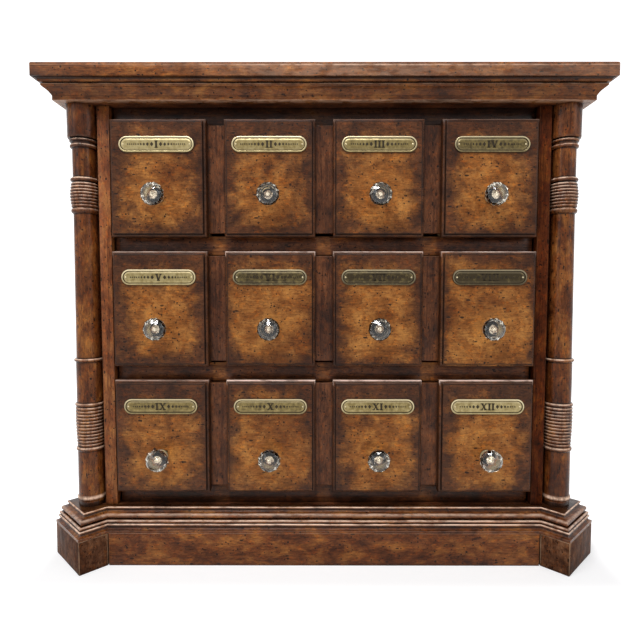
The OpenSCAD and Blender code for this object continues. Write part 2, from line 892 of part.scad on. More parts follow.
module drawer_front(row) {
    z = front_z(row);
    groove_z = box_z(row) + box_bottom_up;
    color(DARK_WALNUT) difference() {
        block([-front_half, panel_back_y, z], [front_half, front_back_y, z + board_h]);
        block([-box_side_x + box_t - groove_d, front_back_y - groove_d, groove_z],
            [box_side_x - box_t + groove_d, front_back_y + CUT, groove_z + box_bottom_t]);
        pair() translate([0, front_back_y, box_z(row)])
            along_x(box_side_x - box_t, front_half + CUT) tail_row(box_h, tail_l);
        knob_places(row) bolt_hole();
    }
}

// One step of a raised panel, with its four edges rounded and mitred
module panel_step(w, h, t, r) {
    intersection() {
        along_x(-w / 2, w / 2) translate([0, h / 2]) rotate(90) eased_bar(h, t, r);
        linear_extrude(h) mirror([0, 1]) eased_bar(w, t, r);
    }
}

module raised_panel(w) {
    lower_t = panel_t - panel_step_h;
    inset = panel_step_w;
    panel_step(w, panel_h, lower_t, panel_round);
    translate([0, 0, inset])
        panel_step(w - 2 * inset, panel_h - 2 * inset, panel_t, face_round);
}

module drawer_panels(row) {
    color(PANEL_WALNUT) difference() {
        for (i = [0 : 3])
            translate([panel_x[i], panel_back_y, panel_z(row)]) raised_panel(panel_w[i]);
        knob_places(row) bolt_hole();
    }
}

// A flat plate with half-round ends
module stadium(l, h) {
    square([l - h, h], center = true);
    for (side = [-1, 1]) translate([side * (l - h) / 2, 0]) circle(h / 2);
}

module label_plate() {
    inner = plate_rim + plate_line_w;
    rotate([90, 0, 0]) difference() {
        linear_extrude(plate_t) stadium(plate_l, plate_h);
        translate([0, 0, plate_t - plate_line_d]) linear_extrude(plate_t)
            stadium(plate_l - 2 * plate_rim, plate_h - 2 * plate_rim);
    }
    rotate([90, 0, 0]) linear_extrude(plate_t - plate_field_d)
        stadium(plate_l - 2 * inner, plate_h - 2 * inner);
}

module drawer_plates(row) {
    color(BRASS) for (x = panel_x)
        translate([x, panel_face_y, panel_z(row) + plate_up]) label_plate();
}

// Knob: heights run out from the panel's face
knob_r = knob_d / 2;
knob_back_z = knob_reach - knob_belly;

module knob_glass() {
    front_z = knob_reach + knob_crown;
    intersection() {
        rotate_extrude() difference() {
            polygon([[0, knob_back_z], [knob_r * 0.46, knob_back_z],
                [knob_r * 0.62, knob_reach - knob_belly * 0.83],
                [knob_r * 0.92, knob_reach - knob_belly * 0.37],
                [knob_r, knob_reach - knob_belly * 0.23],
                [knob_r, knob_reach + knob_crown * 0.2],
                [knob_r * 0.9, knob_reach + knob_crown * 0.44],
                [knob_table_r * 1.3, knob_reach + knob_crown * 0.92],
                [knob_table_r, front_z], [0, front_z]]);
            translate([0, knob_back_z - CUT])
                square([spigot_r + bolt_clear, spigot_l + CUT]);
        }
        translate([0, 0, knob_back_z]) rotate(15)
            cylinder(r = knob_r * 1.015, h = knob_belly + knob_crown, $fn = 12);
    }
}

module drawer_knobs(row) {
    color(GLASS) knob_places(row) rotate([90, 0, 0]) knob_glass();
}

module knob_mount() {
    head_r = bolt_d;
    head_h = bolt_d * 0.7;
    bolt_r = bolt_d / 2;
    grip_z = -panel_t - front_t;
    rotate_extrude() difference() {
        union() {
            polygon([[0, 0], [mount_foot_r, 0], [mount_foot_r, mount_foot_h * 0.6],
                [mount_foot_r * 0.86, mount_foot_h], [mount_foot_r * 0.64, mount_foot_h * 1.6],
                [spigot_r * 1.2, knob_back_z * 0.77], [spigot_r * 1.6, knob_back_z * 0.89],
                [spigot_r * 1.6, knob_back_z], [0, knob_back_z]]);
            square([spigot_r, knob_back_z + spigot_l]);
        }
        translate([0, -CUT]) square([bolt_r + bolt_clear, bolt_grip + CUT]);
    }
    translate([0, 0, grip_z]) cylinder(r = bolt_r, h = bolt_grip - grip_z);
    translate([0, 0, grip_z - head_h]) cylinder(r = head_r, h = head_h);
}

module drawer_knob_mounts(row) {
    color(BRASS) knob_places(row) rotate([90, 0, 0]) knob_mount();
}

// The dovetails at a drawer's back corners, pointing to +Y
module rear_tails(row, x0, x1) {
    low = box_bottom_up + box_bottom_t;
    translate([0, box_end_y - box_t, box_z(row) + low]) mirror([0, 1, 0])
        along_x(x0, x1) tail_row(box_h - low, box_t);
}

module drawer_side(row) {
    z = box_z(row);
    groove_z = z + box_bottom_up;
    inner = box_side_x - box_t;
    color(DRAWER_WOOD) difference() {
        union() {
            block([inner, front_back_y, z], [box_side_x, box_end_y - box_t, z + box_h]);
            block([inner, front_back_y, z],
                [box_side_x, box_end_y, groove_z + box_bottom_t]);
            translate([0, front_back_y, z]) along_x(inner, box_side_x)
                tail_row(box_h, tail_l);
            rear_tails(row, inner, box_side_x);
        }
        block([inner - CUT, front_back_y - groove_d, groove_z],
            [inner + groove_d, box_end_y + CUT, groove_z + box_bottom_t]);
    }
}

module drawer_back(row) {
    bottom_z = box_z(row) + box_bottom_up + box_bottom_t;
    color(DRAWER_WOOD) difference() {
        block([-box_side_x, box_end_y - box_t, bottom_z],
            [box_side_x, box_end_y, box_z(row) + box_h]);
        pair() rear_tails(row, box_side_x - box_t, box_side_x + CUT);
    }
}

module drawer_bottom(row) {
    z = box_z(row) + box_bottom_up;
    half = box_side_x - box_t + groove_d;
    color(DRAWER_WOOD) block([-half, front_back_y - groove_d, z],
        [half, box_end_y, z + box_bottom_t]);
}

top_board();
sub_top();
front_cornice();
left_cornice();
right_cornice();
left_column();
right_column();
left_post();
right_post();
left_side_panel();
right_side_panel();
back_panel();
top_rail();
upper_rail();
lower_rail();
bottom_rail();
drawer_runners();
drawer_stops();
bottom_board();
front_plinth();
left_plinth();
right_plinth();
back_plinth();
left_corner_block();
right_corner_block();
left_corner_cap();
right_corner_cap();
front_base_moulding();
left_base_moulding();
right_base_moulding();
glue_blocks();
back_screws();
top_screws();
drawer_front(2);  // top_drawer_front
drawer_panels(2);  // top_drawer_panels
drawer_plates(2);  // top_drawer_plates
drawer_knobs(2);  // top_drawer_knobs
drawer_knob_mounts(2);  // top_drawer_knob_mounts
mirror([1, 0, 0]) drawer_side(2);  // top_drawer_left_side
drawer_side(2);  // top_drawer_right_side
drawer_back(2);  // top_drawer_back
drawer_bottom(2);  // top_drawer_bottom
drawer_front(1);  // middle_drawer_front
drawer_panels(1);  // middle_drawer_panels
drawer_plates(1);  // middle_drawer_plates
drawer_knobs(1);  // middle_drawer_knobs
drawer_knob_mounts(1);  // middle_drawer_knob_mounts
mirror([1, 0, 0]) drawer_side(1);  // middle_drawer_left_side
drawer_side(1);  // middle_drawer_right_side
drawer_back(1);  // middle_drawer_back
drawer_bottom(1);  // middle_drawer_bottom
drawer_front(0);  // bottom_drawer_front
drawer_panels(0);  // bottom_drawer_panels
drawer_plates(0);  // bottom_drawer_plates
drawer_knobs(0);  // bottom_drawer_knobs
drawer_knob_mounts(0);  // bottom_drawer_knob_mounts
mirror([1, 0, 0]) drawer_side(0);  // bottom_drawer_left_side
drawer_side(0);  // bottom_drawer_right_side
drawer_back(0);  // bottom_drawer_back
drawer_bottom(0);  // bottom_drawer_bottom
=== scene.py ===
"""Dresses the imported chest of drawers: aged walnut, brass label plates and cut-glass knobs.

Every piece is made in metres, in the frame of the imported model, and rides on its body.
"""
import math
import random
from functools import lru_cache, partial

import bmesh
import bpy
from bpy.props import FloatProperty, FloatVectorProperty, IntProperty, PointerProperty
from mathutils import Matrix, Vector, noise


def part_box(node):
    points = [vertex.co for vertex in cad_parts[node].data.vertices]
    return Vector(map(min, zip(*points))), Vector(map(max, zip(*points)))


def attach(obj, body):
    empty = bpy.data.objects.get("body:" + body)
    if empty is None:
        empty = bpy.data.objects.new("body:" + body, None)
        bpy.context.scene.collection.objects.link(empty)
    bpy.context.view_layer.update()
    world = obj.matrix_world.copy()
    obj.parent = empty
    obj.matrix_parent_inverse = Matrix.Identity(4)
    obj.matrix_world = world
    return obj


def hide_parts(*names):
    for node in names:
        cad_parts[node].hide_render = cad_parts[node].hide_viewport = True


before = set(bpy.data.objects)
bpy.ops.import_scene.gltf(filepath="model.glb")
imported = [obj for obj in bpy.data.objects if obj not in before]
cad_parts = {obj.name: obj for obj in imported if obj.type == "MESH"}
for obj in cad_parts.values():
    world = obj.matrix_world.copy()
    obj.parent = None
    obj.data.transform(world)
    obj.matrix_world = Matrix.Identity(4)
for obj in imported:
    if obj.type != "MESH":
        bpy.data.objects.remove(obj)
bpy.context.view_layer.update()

bl_info = {
    "name": "Chest of drawers",
    "version": (1, 0, 0),
    "blender": (4, 5, 0),
    "location": "3D View > Sidebar > Chest",
    "description": "Dresses a chest of drawers with aged walnut, brass and cut glass",
    "category": "Object",
}

MM = 0.001
SIDES = ((-1, "left"), (1, "right"))
# For each panel from left to right: its numeral, how far its plate has browned (0 for
# bright), how much of its dark stain is rubbed off (about an average of 0) and how bright
# the painted highlight on its upper edge is, faint on the top row in the cornice's shade
FRONTS = {
    "top": (("I", 0.02, -0.12, 0.2), ("II", 0.16, -0.2, 0.2),
            ("III", 0.22, -0.06, 0.2), ("IV", 0.4, -0.08, 0.2)),
    "middle": (("V", 0.1, -0.1, 0.5), ("VI", 0.48, 0.34, 1.1),
               ("VII", 0.5, 0.12, 1.0), ("VIII", 0.56, 0.5, 0.85)),
    "bottom": (("IX", 0.26, -0.08, 0.3), ("X", 0.3, 0.2, 1.2),
               ("XI", 0.16, 0.02, 1.1), ("XII", 0.06, 0.02, 1.1)),
}
# Places along the top board's front, each with how much its face is darkened (below 0)
# and lightened (above 0) there; the lighter places get a stronger painted highlight band
FRONT_LIGHTNESS = ((-0.47, -0.6), (-0.3, -0.4), (-0.22, 0.0), (-0.1, 0.12), (0.1, 0.16),
              (0.25, 0.1), (0.47, 0.05))
# Heights down from the top board's upper face, each with its share of the painted
# highlight band along its rounded front edge
FRONT_HIGHLIGHT_LINES = ((2.3 * MM, 0.0), (3.4 * MM, 0.9), (5.6 * MM, 1.0), (7.6 * MM, 0.2))
# From the middle of one gap between panels to the next
GAP_PITCH = 183 * MM
# Mouldings aren't worn uneven this close to a joint, or to a mitre of the base
JOINT_HELD = 0.1 * MM
MITRE_HELD = 1 * MM
PANEL_THICKNESS = 19.0
# How far the numerals' feet and faces lie behind the front of a plate's rim
NUMERAL_DEPTHS = (0.6 * MM, 0.15 * MM)
PIN_FROM_END = 7.2 * MM
PIN_DEPTH = 0.55 * MM
SCREW_HEAD = 2.1 * MM
SOCKET_RADIUS = 5.2 * MM


# ---------------------------------------------------------------- settings

class WoodSettings(bpy.types.PropertyGroup):
    """Sizes of the worn edges and of the wood's markings."""
    arris: FloatProperty(name="Arris", description="Rounding of worn edges",
                         default=0.9 * MM, unit="LENGTH")
    speck_pitch: FloatProperty(name="Speck pitch", description="Distance between dark specks",
                               default=13 * MM, unit="LENGTH")
    wobble: FloatProperty(name="Wobble", description="Unevenness of hand-worn mouldings",
                          default=0.25 * MM, unit="LENGTH")


class FittingSettings(bpy.types.PropertyGroup):
    """Sizes of the label plates and the glass knobs."""
    rim_width: FloatProperty(name="Rim", description="Width of a plate's raised rim",
                             default=2.5 * MM, unit="LENGTH")
    numeral_height: FloatProperty(name="Numerals", description="Height of the numerals",
                                  default=11.61 * MM, unit="LENGTH")
    facets: IntProperty(name="Facets", description="Facets round a glass knob",
                        default=12, min=6, max=24, subtype="UNSIGNED")
    pin_radius: FloatProperty(name="Pins", description="Radius of a plate's pin heads",
                              default=1.5 * MM, unit="LENGTH")


class StageSettings(bpy.types.PropertyGroup):
    """Place of the camera and strength of the lamps."""
    eye: FloatVectorProperty(name="Eye", description="Place of the camera", size=3,
                             default=(-0.0054, -1.0451, 0.4725), subtype="TRANSLATION")
    heading: FloatVectorProperty(name="Heading", description="Direction of view", size=3,
                                 default=(-0.0018, 0.9985, -0.0561), subtype="DIRECTION")
    roll: FloatProperty(name="Roll", description="Turn of the camera about its view",
                        default=0.0004, subtype="ANGLE")
    lens: FloatProperty(name="Lens", description="Focal length in millimetres",
                        default=28.125, unit="CAMERA")
    key: FloatProperty(name="Key lamp", description="Power of the lamp above", default=30.0,
                       subtype="POWER")
    fill: FloatProperty(name="Fill lamps", description="Power of each side lamp", default=6.0,
                        subtype="POWER")
    room: FloatProperty(name="Room light", description="Strength of the light all round",
                        default=0.42, subtype="FACTOR")


# ---------------------------------------------------------------- nodes

SMOOTH = {"interpolation_type": "SMOOTHSTEP"}


def linear(hex_colour):
    """An sRGB hex colour as linear RGBA."""
    values = [int(hex_colour[i:i + 2], 16) / 255 for i in (1, 3, 5)]
    return tuple(v / 12.92 if v <= 0.04045 else ((v + 0.055) / 1.055) ** 2.4
                 for v in values) + (1.0,)


def add(tree, kind, links=None, **settings):
    """Adds one node; links gives its inputs as values or as (node, output) pairs.

    kind is Blender's name of it, where ShaderNode may be left out.
    """
    made = tree.nodes.new(kind if "Node" in kind else "ShaderNode" + kind)
    for key, value in settings.items():
        setattr(made, key, value)
    for key, value in (links or {}).items():
        if isinstance(value, tuple) and isinstance(value[0], bpy.types.Node):
            tree.links.new(value[0].outputs[value[1]], made.inputs[key])
        else:
            made.inputs[key].default_value = value
    return made


def span(source, low, high, least=0.0, most=1.0):
    """Inputs that turn a source's low to high into least to most."""
    return {"Value": source, "From Min": low, "From Max": high, "To Min": least, "To Max": most}


def laid(tree, colour, tone, inputs, blend="MIX"):
    """Lays a tone over a colour by an amount that span gives; the result is the colour."""
    amount = add(tree, "MapRange", inputs, **SMOOTH)
    return add(tree, "Mix", {0: (amount, 0), 6: colour, 7: tone}, data_type="RGBA",
               blend_type=blend), 2


def ramp(made, *stops):
    """Gives a colour ramp its stops, each a place and a hex colour."""
    elements = made.color_ramp.elements
    while len(elements) > 1:
        elements.remove(elements[-1])
    for i, (place, colour) in enumerate(stops):
        stop = elements[0] if i == 0 else elements.new(place)
        stop.position = place
        stop.color = linear(colour)
    return made


def new_material(name):
    """An empty node material, its tree and its coordinates."""
    made = bpy.data.materials.new(name)
    made.use_nodes = True
    made.node_tree.nodes.clear()
    return made, made.node_tree, (add(made.node_tree, "TexCoord"), "Object")


def surfaced(made, inputs):
    """Ends a material's tree with the one shader and its output."""
    shader = add(made.node_tree, "BsdfPrincipled", inputs)
    add(made.node_tree, "OutputMaterial", {"Surface": (shader, 0)})
    return made


def seen_directly(tree):
    """A node that is 1 where the camera, a gloss or glass looks at the surface."""
    path = add(tree, "LightPath")
    seen = add(tree, "Math", {0: (path, "Is Camera Ray"),
               1: (path, "Is Glossy Ray")}, operation="MAXIMUM")
    return add(tree, "Math", {0: (seen, 0), 1: (path, "Is Transmission Ray")}, operation="MAXIMUM")


# ---------------------------------------------------------------- finishes

# Dark, middle and light tones of the stain, and where they stand on the figure
TONE_PLACES = (0.36, 0.5, 0.64)
CASE = ("#43220f", "#744221", "#a06834")
CORNICE = ("#55321b", "#824e2a", "#a9713e")
STILE_LEFT = ("#63361e", "#8e532f", "#ae7442")
STILE_RIGHT = ("#33180a", "#5a2a12", "#78421b")
BLOCK = ("#382318", "#5c3b28", "#825c42")
# Rails: tones in the shade of the panels, then painted light where light falls between them
RAIL = ("#3a2215", "#623a25", "#855130")
RAIL_LIT = ("#5c361d", "#8a5630", "#a8703f")
FRONT = ("#3a2217", "#643c25", "#835234")
# The top rail, made darker as painted shade under the cornice
TOP_RAIL_SHADED = ("#1e110a", "#382015", "#50321b")
# The bottom rail: tones in the lowest panels' shade, then painted light between them
BOTTOM_RAIL = ("#2a180c", "#4a2816", "#663d23")
BOTTOM_LIT = ("#462917", "#653e24", "#7d5130")
PANEL_EDGE = ("#341d12", "#50301c", "#6b4126")
PANEL_HEART = ("#734219", "#98602d", "#be8344")


# Waxed walnut that has been stained dark, rubbed through on its edges and flecked with
# dark spots: satin sheen, mottled brown figure, fine streaks along the grain; painted
# highlights on edges that face up, painted shade in hollows and close corners.
def walnut(name, along=0, edge=CASE, heart=None, every=None, rub_and_highlight="#b98a68", rub_and_highlight_strength=1.0,
           sheen=0.34, shine=0.2, streaks=1.0, grain_size=(13, 3.4), figure=(52, 30)):
    """Aged walnut whose grain runs along one axis (0, 1 or 2).

    edge and heart are dark, middle and light tones; heart is used in a panel's middle, or
    as painted light in short stretches that come every so many metres along a rail, where
    light falls between the panels.
    """
    made, tree, place = new_material(name)

    def cloud(length, width, detail, rough=0.55, shift=0.0, twist=0.0):
        """Noise with marks of a length along the grain and a width, in mm."""
        scale = [1 / (width * MM)] * 3
        scale[along] = 1 / (length * MM)
        board = add(tree, "Mapping", {"Vector": place, "Scale": scale,
                    "Location": (shift, shift * 1.7, shift * 0.6)})
        return add(tree, "TexNoise", {"Vector": (board, 0), "Scale": 1.0,
                   "Detail": detail, "Roughness": rough, "Distortion": twist}), "Fac"

    # Figure: blotches 30 to 50 mm long that break up into small ones
    blotch = cloud(*figure, 9.0, 0.72, twist=0.35)
    colour = ramp(add(tree, "ValToRGB", {"Fac": blotch}), *zip(TONE_PLACES, edge)), 0
    if heart:
        bare = blotch
        if every:
            # Painted light in short stretches where light falls between the panels' shadows, but
            # none where the next gap would fall at the ends
            parts = add(tree, "SeparateXYZ", {0: place})
            off = add(tree, "Math", {0: (parts, along), 1: every / 2}, operation="PINGPONG")
            far = add(tree, "Math", {0: (parts, along)}, operation="ABSOLUTE")
            past = add(tree, "Math", {0: (far, 0), 1: 1.5 * every}, operation="SUBTRACT")
            off = add(tree, "Math", {0: (off, 0), 1: (past, 0)}, operation="MAXIMUM")
            spot = add(tree, "MapRange", span((off, 0), 6 * MM, 22 * MM, 1.0, -0.6), **SMOOTH), 0
        else:
            # Panels are rubbed light in the middle, with painted light under the knob, and keep
            # the dark stain round their edges
            spot = add(tree, "Attribute", attribute_name="middle"), "Fac"
            lift = add(tree, "MapRange", span(spot, 1.2, 1.9, 0.0, 0.09), **SMOOTH)
            bare = add(tree, "Math", {0: blotch, 1: (lift, 0)}, operation="ADD"), 0
        drift = add(tree, "Math", {0: cloud(42, 36, 6.0, 0.66, 9.2, 0.4), 1: 2.1},
                    operation="MULTIPLY")
        reach = add(tree, "Math", {0: spot, 1: (drift, 0)}, operation="ADD")
        tone = ramp(add(tree, "ValToRGB", {"Fac": bare}), *zip(TONE_PLACES, heart))
        colour = laid(tree, colour, (tone, 0), span((reach, 0), 1.2, 2.0))
    fibre = cloud(18, 1.6, 4.0, 0.7, 7.7, 0.3)
    for source, low, high, most, tone, blend in (
            # Broad clouds of stain, 150 mm across
            (cloud(190, 120, 3.0, 0.5, 3.1), 0.46, 0.68, 0.5, "#7a5038", "MULTIPLY"),
            # Year rings: darker lines a few millimetres apart that wander
            (cloud(150, 6.5, 4.0, 0.6, 1.3, 0.35), 0.5, 0.64, 0.5 * streaks, "#6a4026",
             "MULTIPLY"),
            # Grain: short broken dark strokes
            (cloud(*grain_size, 6.0, 0.74, 6.6, 0.6), 0.49, 0.64, 0.55, "#68402a", "MULTIPLY"),
            # Fibres: fine dark streaks
            (fibre, 0.46, 0.68, 0.5, "#5d3a24", "MULTIPLY"),
            # Small lights in the figure, like the flashes in burr wood
            (cloud(8, 5, 5.0, 0.75, 5.5, 0.8), 0.5, 0.68, 0.85, "#ffd9a0", "SOFT_LIGHT")):
        colour = laid(tree, colour, linear(tone), span(source, low, high, 0.0, most), blend)
    # Flecks: dark spots and short dashes, thrown on before the last wax
    marks = None
    for pitch, largest, chance, stretch in ((1.0, 0.17, 0.15, 1.0), (0.45, 0.26, 0.3, 1.0),
                                            (0.6, 0.2, 0.32, 2.6)):
        scale = [1 / (bpy.context.scene.chest_wood.speck_pitch * pitch)] * 3
        scale[along] /= stretch
        grid = add(tree, "Mapping", {"Vector": place, "Scale": scale,
                   "Rotation": (0.2, 0.4, 0.3) if stretch > 1 else (0.5, 0.9, 0.7)})
        cells = add(tree, "TexVoronoi", {"Vector": (grid, 0), "Scale": 1.0, "Randomness": 1.0})
        chosen = add(tree, "SeparateColor", {"Color": (cells, "Color")})
        size = add(tree, "MapRange", span((chosen, 0), chance, 1.0, 0.0, largest), **SMOOTH)
        inner = add(tree, "Math", {0: (size, 0), 1: (cells, "Distance")}, operation="SUBTRACT")
        soft = add(tree, "MapRange", span((inner, 0), 0.0, 0.03, 0.0, 0.92), **SMOOTH)
        marks = soft if marks is None else add(tree, "Math", {0: (marks, 0),
                                               1: (soft, 0)}, operation="MAXIMUM")
    # Wear and painted highlights: arrises rubbed through to lighter wood, brightest where
    # they face up, unevenly along their length
    wear = add(tree, "Attribute", attribute_name="wear"), "Fac"
    patchy = cloud(26, 9, 5.0, 0.65, 2.4)
    uneven = add(tree, "MapRange", span(patchy, 0.36, 0.6, 0.3 * rub_and_highlight_strength, rub_and_highlight_strength), **SMOOTH)
    worn_and_lit = add(tree, "Math", {0: wear, 1: (uneven, 0)}, operation="MULTIPLY")
    for amount, tone in ((marks, "#180c06"), (worn_and_lit, rub_and_highlight)):
        colour = add(tree, "Mix", {0: (amount, 0), 6: colour, 7: linear(tone)},
                     data_type="RGBA"), 2
    # Painted shade with dirt and old wax in the outline's own hollows, then painted shade
    # in any close corner
    colour = laid(tree, colour, linear("#1a0d07"), span(wear, -1.0, -0.05, 0.85, 0.0))
    corner = add(tree, "AmbientOcclusion", {"Distance": 8 * MM}, samples=6)
    colour = laid(tree, colour, linear("#160b06"), span((corner, "AO"), 0.25, 0.85, 0.75, 0.0))
    # Surface: pores and dents too small to model
    relief = add(tree, "Math", {0: fibre, 1: 0.35}, operation="MULTIPLY")
    both = add(tree, "Math", {0: (relief, 0), 1: cloud(15, 11, 3.0, 0.55, 4.4)}, operation="ADD")
    pitted = add(tree, "Math", {0: (both, 0), 1: (marks, 0)}, operation="SUBTRACT")
    bump = add(tree, "Bump", {"Height": (pitted, 0), "Strength": 0.55, "Distance": 0.4 * MM})
    gloss = add(tree, "MapRange", span(patchy, 0.3, 0.7, sheen - 0.08, sheen + 0.12), **SMOOTH)
    return surfaced(made, {"Base Color": colour, "Roughness": (gloss, 0), "Normal": (bump, 0),
                           "IOR": 1.45, "Specular IOR Level": shine})


# Drawer sides and bottoms: planed secondary wood, never finished, so pale and matt.
def plain_wood(name, along):
    """Unpolished pale wood for what is inside and behind."""
    made, tree, place = new_material(name)
    noises = []
    for length, width, look in ((240, 11, {"Detail": 5.0, "Roughness": 0.6, "Distortion": 0.4}),
                                (30, 11 / 9, {"Detail": 2.0})):
        scale = [1 / (width * MM)] * 3
        scale[along] = 1 / (length * MM)
        board = add(tree, "Mapping", {"Vector": place, "Scale": scale})
        noises.append((add(tree, "TexNoise", {"Vector": (board, 0), "Scale": 1.0, **look}), "Fac"))
    rings, pores = noises
    tone = ramp(add(tree, "ValToRGB", {"Fac": rings}),
                (0.3, "#8a6a45"), (0.5, "#ab8960"), (0.7, "#bd9e74"))
    bump = add(tree, "Bump", {"Height": pores, "Strength": 0.35, "Distance": 0.2 * MM})
    return surfaced(made, {"Base Color": (tone, 0), "Roughness": 0.72, "Normal": (bump, 0),
                           "IOR": 1.45})


# Antiqued brass: stamped, browned in a bath and rubbed bright on the raised parts, with
# a painted highlight on the upper rim and painted shade in close corners.
def aged_brass(name):
    """Brass whose tone follows the piece's own patina attribute."""
    made, tree, place = new_material(name)
    rubbed_and_lit = add(tree, "Attribute", attribute_name="wear"), "Fac"
    tone = add(tree, "Attribute", attribute_name="patina"), "Fac"
    spots = add(tree, "TexNoise", {"Vector": place, "Scale": 1 / (7 * MM),
                "Detail": 4.0, "Roughness": 0.65}), "Fac"
    cloudy = add(tree, "Math", {0: spots, 1: 0.9}, operation="MULTIPLY")
    depth = add(tree, "Math", {0: tone, 1: (cloudy, 0)}, operation="ADD")
    field = ramp(add(tree, "ValToRGB", {"Fac": (depth, 0)}),
                 (0.3, "#ac9d72"), (0.65, "#7d6d44"), (1.1, "#3a3121"))
    bright = add(tree, "Mix", {0: rubbed_and_lit, 6: (field, 0), 7: linear("#d6c7a2")},
                 data_type="RGBA")
    # Painted shade in close corners and along each plate's outer edge; dirt in the sunk line
    corner = add(tree, "AmbientOcclusion", {"Distance": 2.5 * MM}, samples=6)
    hidden = add(tree, "MapRange", span((corner, "AO"), 0.45, 0.95, 0.85, 0.0))
    sunk = add(tree, "MapRange", span(rubbed_and_lit, -1.0, 0.0, 0.85, 0.0))
    shade_and_dirt = add(tree, "Math", {0: (hidden, 0), 1: (sunk, 0)}, operation="MAXIMUM")
    grimed = add(tree, "Mix", {0: (shade_and_dirt, 0), 6: (bright, 2), 7: linear("#2a2115")},
                 data_type="RGBA")
    gloss = add(tree, "MapRange", span(spots, 0.3, 0.7, 0.3, 0.48))
    bump = add(tree, "Bump", {"Height": spots, "Strength": 0.3, "Distance": 0.15 * MM})
    return surfaced(made, {"Base Color": (grimed, 2), "Metallic": 0.85, "Roughness": (gloss, 0),
                           "Normal": (bump, 0)})


def spotted(name, pitch, stops, surface, detail=3.0):
    """A plain surface whose tone drifts in spots of a pitch in mm."""
    made, tree, place = new_material(name)
    spots = add(tree, "TexNoise", {"Vector": place, "Scale": 1 / (pitch * MM), "Detail": detail})
    tone = ramp(add(tree, "ValToRGB", {"Fac": (spots, "Fac")}), *stops)
    return surfaced(made, {"Base Color": (tone, 0), **surface})


cornice_walnut = partial(walnut, edge=CORNICE, sheen=0.27, streaks=0.5, rub_and_highlight="#e9c0a2",
                         rub_and_highlight_strength=1.2)
moulded_walnut = partial(walnut, sheen=0.27, rub_and_highlight="#f8d5bc")
FINISHES = {
    "walnut_across": partial(walnut, edge=CORNICE, rub_and_highlight="#f3cdb2", streaks=0.6, rub_and_highlight_strength=1.3),
    "walnut_plinth": partial(walnut, rub_and_highlight="#dcae90", streaks=0.5),
    "walnut_cornice": cornice_walnut,
    "walnut_cornice_deep": partial(cornice_walnut, along=1),
    "walnut_moulded": moulded_walnut,
    "walnut_moulded_deep": partial(moulded_walnut, along=1),
    "walnut_deep": partial(walnut, along=1),
    "walnut_upright": partial(walnut, along=2),
    "walnut_stile_left": partial(walnut, along=2, edge=STILE_LEFT, rub_and_highlight_strength=0.6),
    "walnut_stile_right": partial(walnut, along=2, edge=STILE_RIGHT, rub_and_highlight_strength=0.4, sheen=0.45,
                                  shine=0.06),
    "walnut_block": partial(walnut, along=2, edge=BLOCK, rub_and_highlight="#d8b795", streaks=0.3,
                            figure=(40, 34), grain_size=(8, 6), rub_and_highlight_strength=0.8, sheen=0.5,
                            shine=0.05),
    "walnut_turned": partial(walnut, along=2, sheen=0.27, rub_and_highlight="#f5d0b5", rub_and_highlight_strength=1.15),
    "walnut_rail": partial(walnut, edge=RAIL, heart=RAIL_LIT, rub_and_highlight_strength=0.4, every=GAP_PITCH),
    "walnut_inside": partial(walnut, edge=RAIL, rub_and_highlight_strength=0.4),
    "walnut_top_rail": partial(walnut, edge=TOP_RAIL_SHADED, rub_and_highlight_strength=0.2),
    "walnut_bottom_rail": partial(walnut, edge=BOTTOM_RAIL, heart=BOTTOM_LIT, rub_and_highlight_strength=0.3,
                                  every=GAP_PITCH),
    "walnut_front": partial(walnut, along=2, edge=FRONT, rub_and_highlight_strength=0.5),
    "walnut_panel": partial(walnut, edge=PANEL_EDGE, heart=PANEL_HEART, streaks=0.3,
                            rub_and_highlight="#f4d6c6", rub_and_highlight_strength=1.6, grain_size=(6, 4), figure=(40, 34)),
    "plain_wood_across": partial(plain_wood, along=0),
    "plain_wood_deep": partial(plain_wood, along=1),
    "aged_brass": aged_brass,
    # Dark browned brass of the raised numerals: nearly black, half matt
    "numeral_brown": partial(spotted, pitch=3, stops=((0.35, "#1f180d"), (0.7, "#382c19")),
                             surface={"Metallic": 0.6, "Roughness": 0.5}),
    # Cut lead glass, ground and polished: clear and sharp, with a faint warm body that
    # stands in for the brown wood it reflects, a painted reflection
    "cut_glass": partial(spotted, pitch=9, stops=((0.3, "#f1e7d4"), (0.8, "#fbf3e4")),
                         surface={"Roughness": 0.02, "IOR": 1.55, "Transmission Weight": 1.0},
                         detail=2.0),
    # Silvering sealed in the glass: bright, a little foxed with age, and warmed as a painted
    # reflection of the wood
    "silvering": partial(spotted, pitch=3, stops=((0.3, "#8e8373"), (0.55, "#efe9dd")),
                         surface={"Metallic": 0.9, "Roughness": 0.22}),
    # Zinc-plated steel of the screws, slightly dulled
    "screw_steel": partial(spotted, pitch=2, stops=((0.3, "#77746e"), (0.7, "#9a9791")),
                           surface={"Metallic": 1.0, "Roughness": 0.38}),
}


@lru_cache
def material(name):
    """A finish by name, made the first time it is asked for."""
    return FINISHES[name](name)


# ---------------------------------------------------------------- mesh helpers

def cad_mesh(node):
    """A CAD node's mesh as a bmesh with its doubles merged."""
    bm = bmesh.new()
    bm.from_mesh(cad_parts[node].data)
    bmesh.ops.remove_doubles(bm, verts=bm.verts, dist=2e-6)
    return bm


def cad_shell(node):
    """A merged CAD mesh whose flat faces are whole."""
    bm = cad_mesh(node)
    bmesh.ops.dissolve_limit(bm, angle_limit=math.radians(0.4), verts=bm.verts, edges=bm.edges)
    return bm


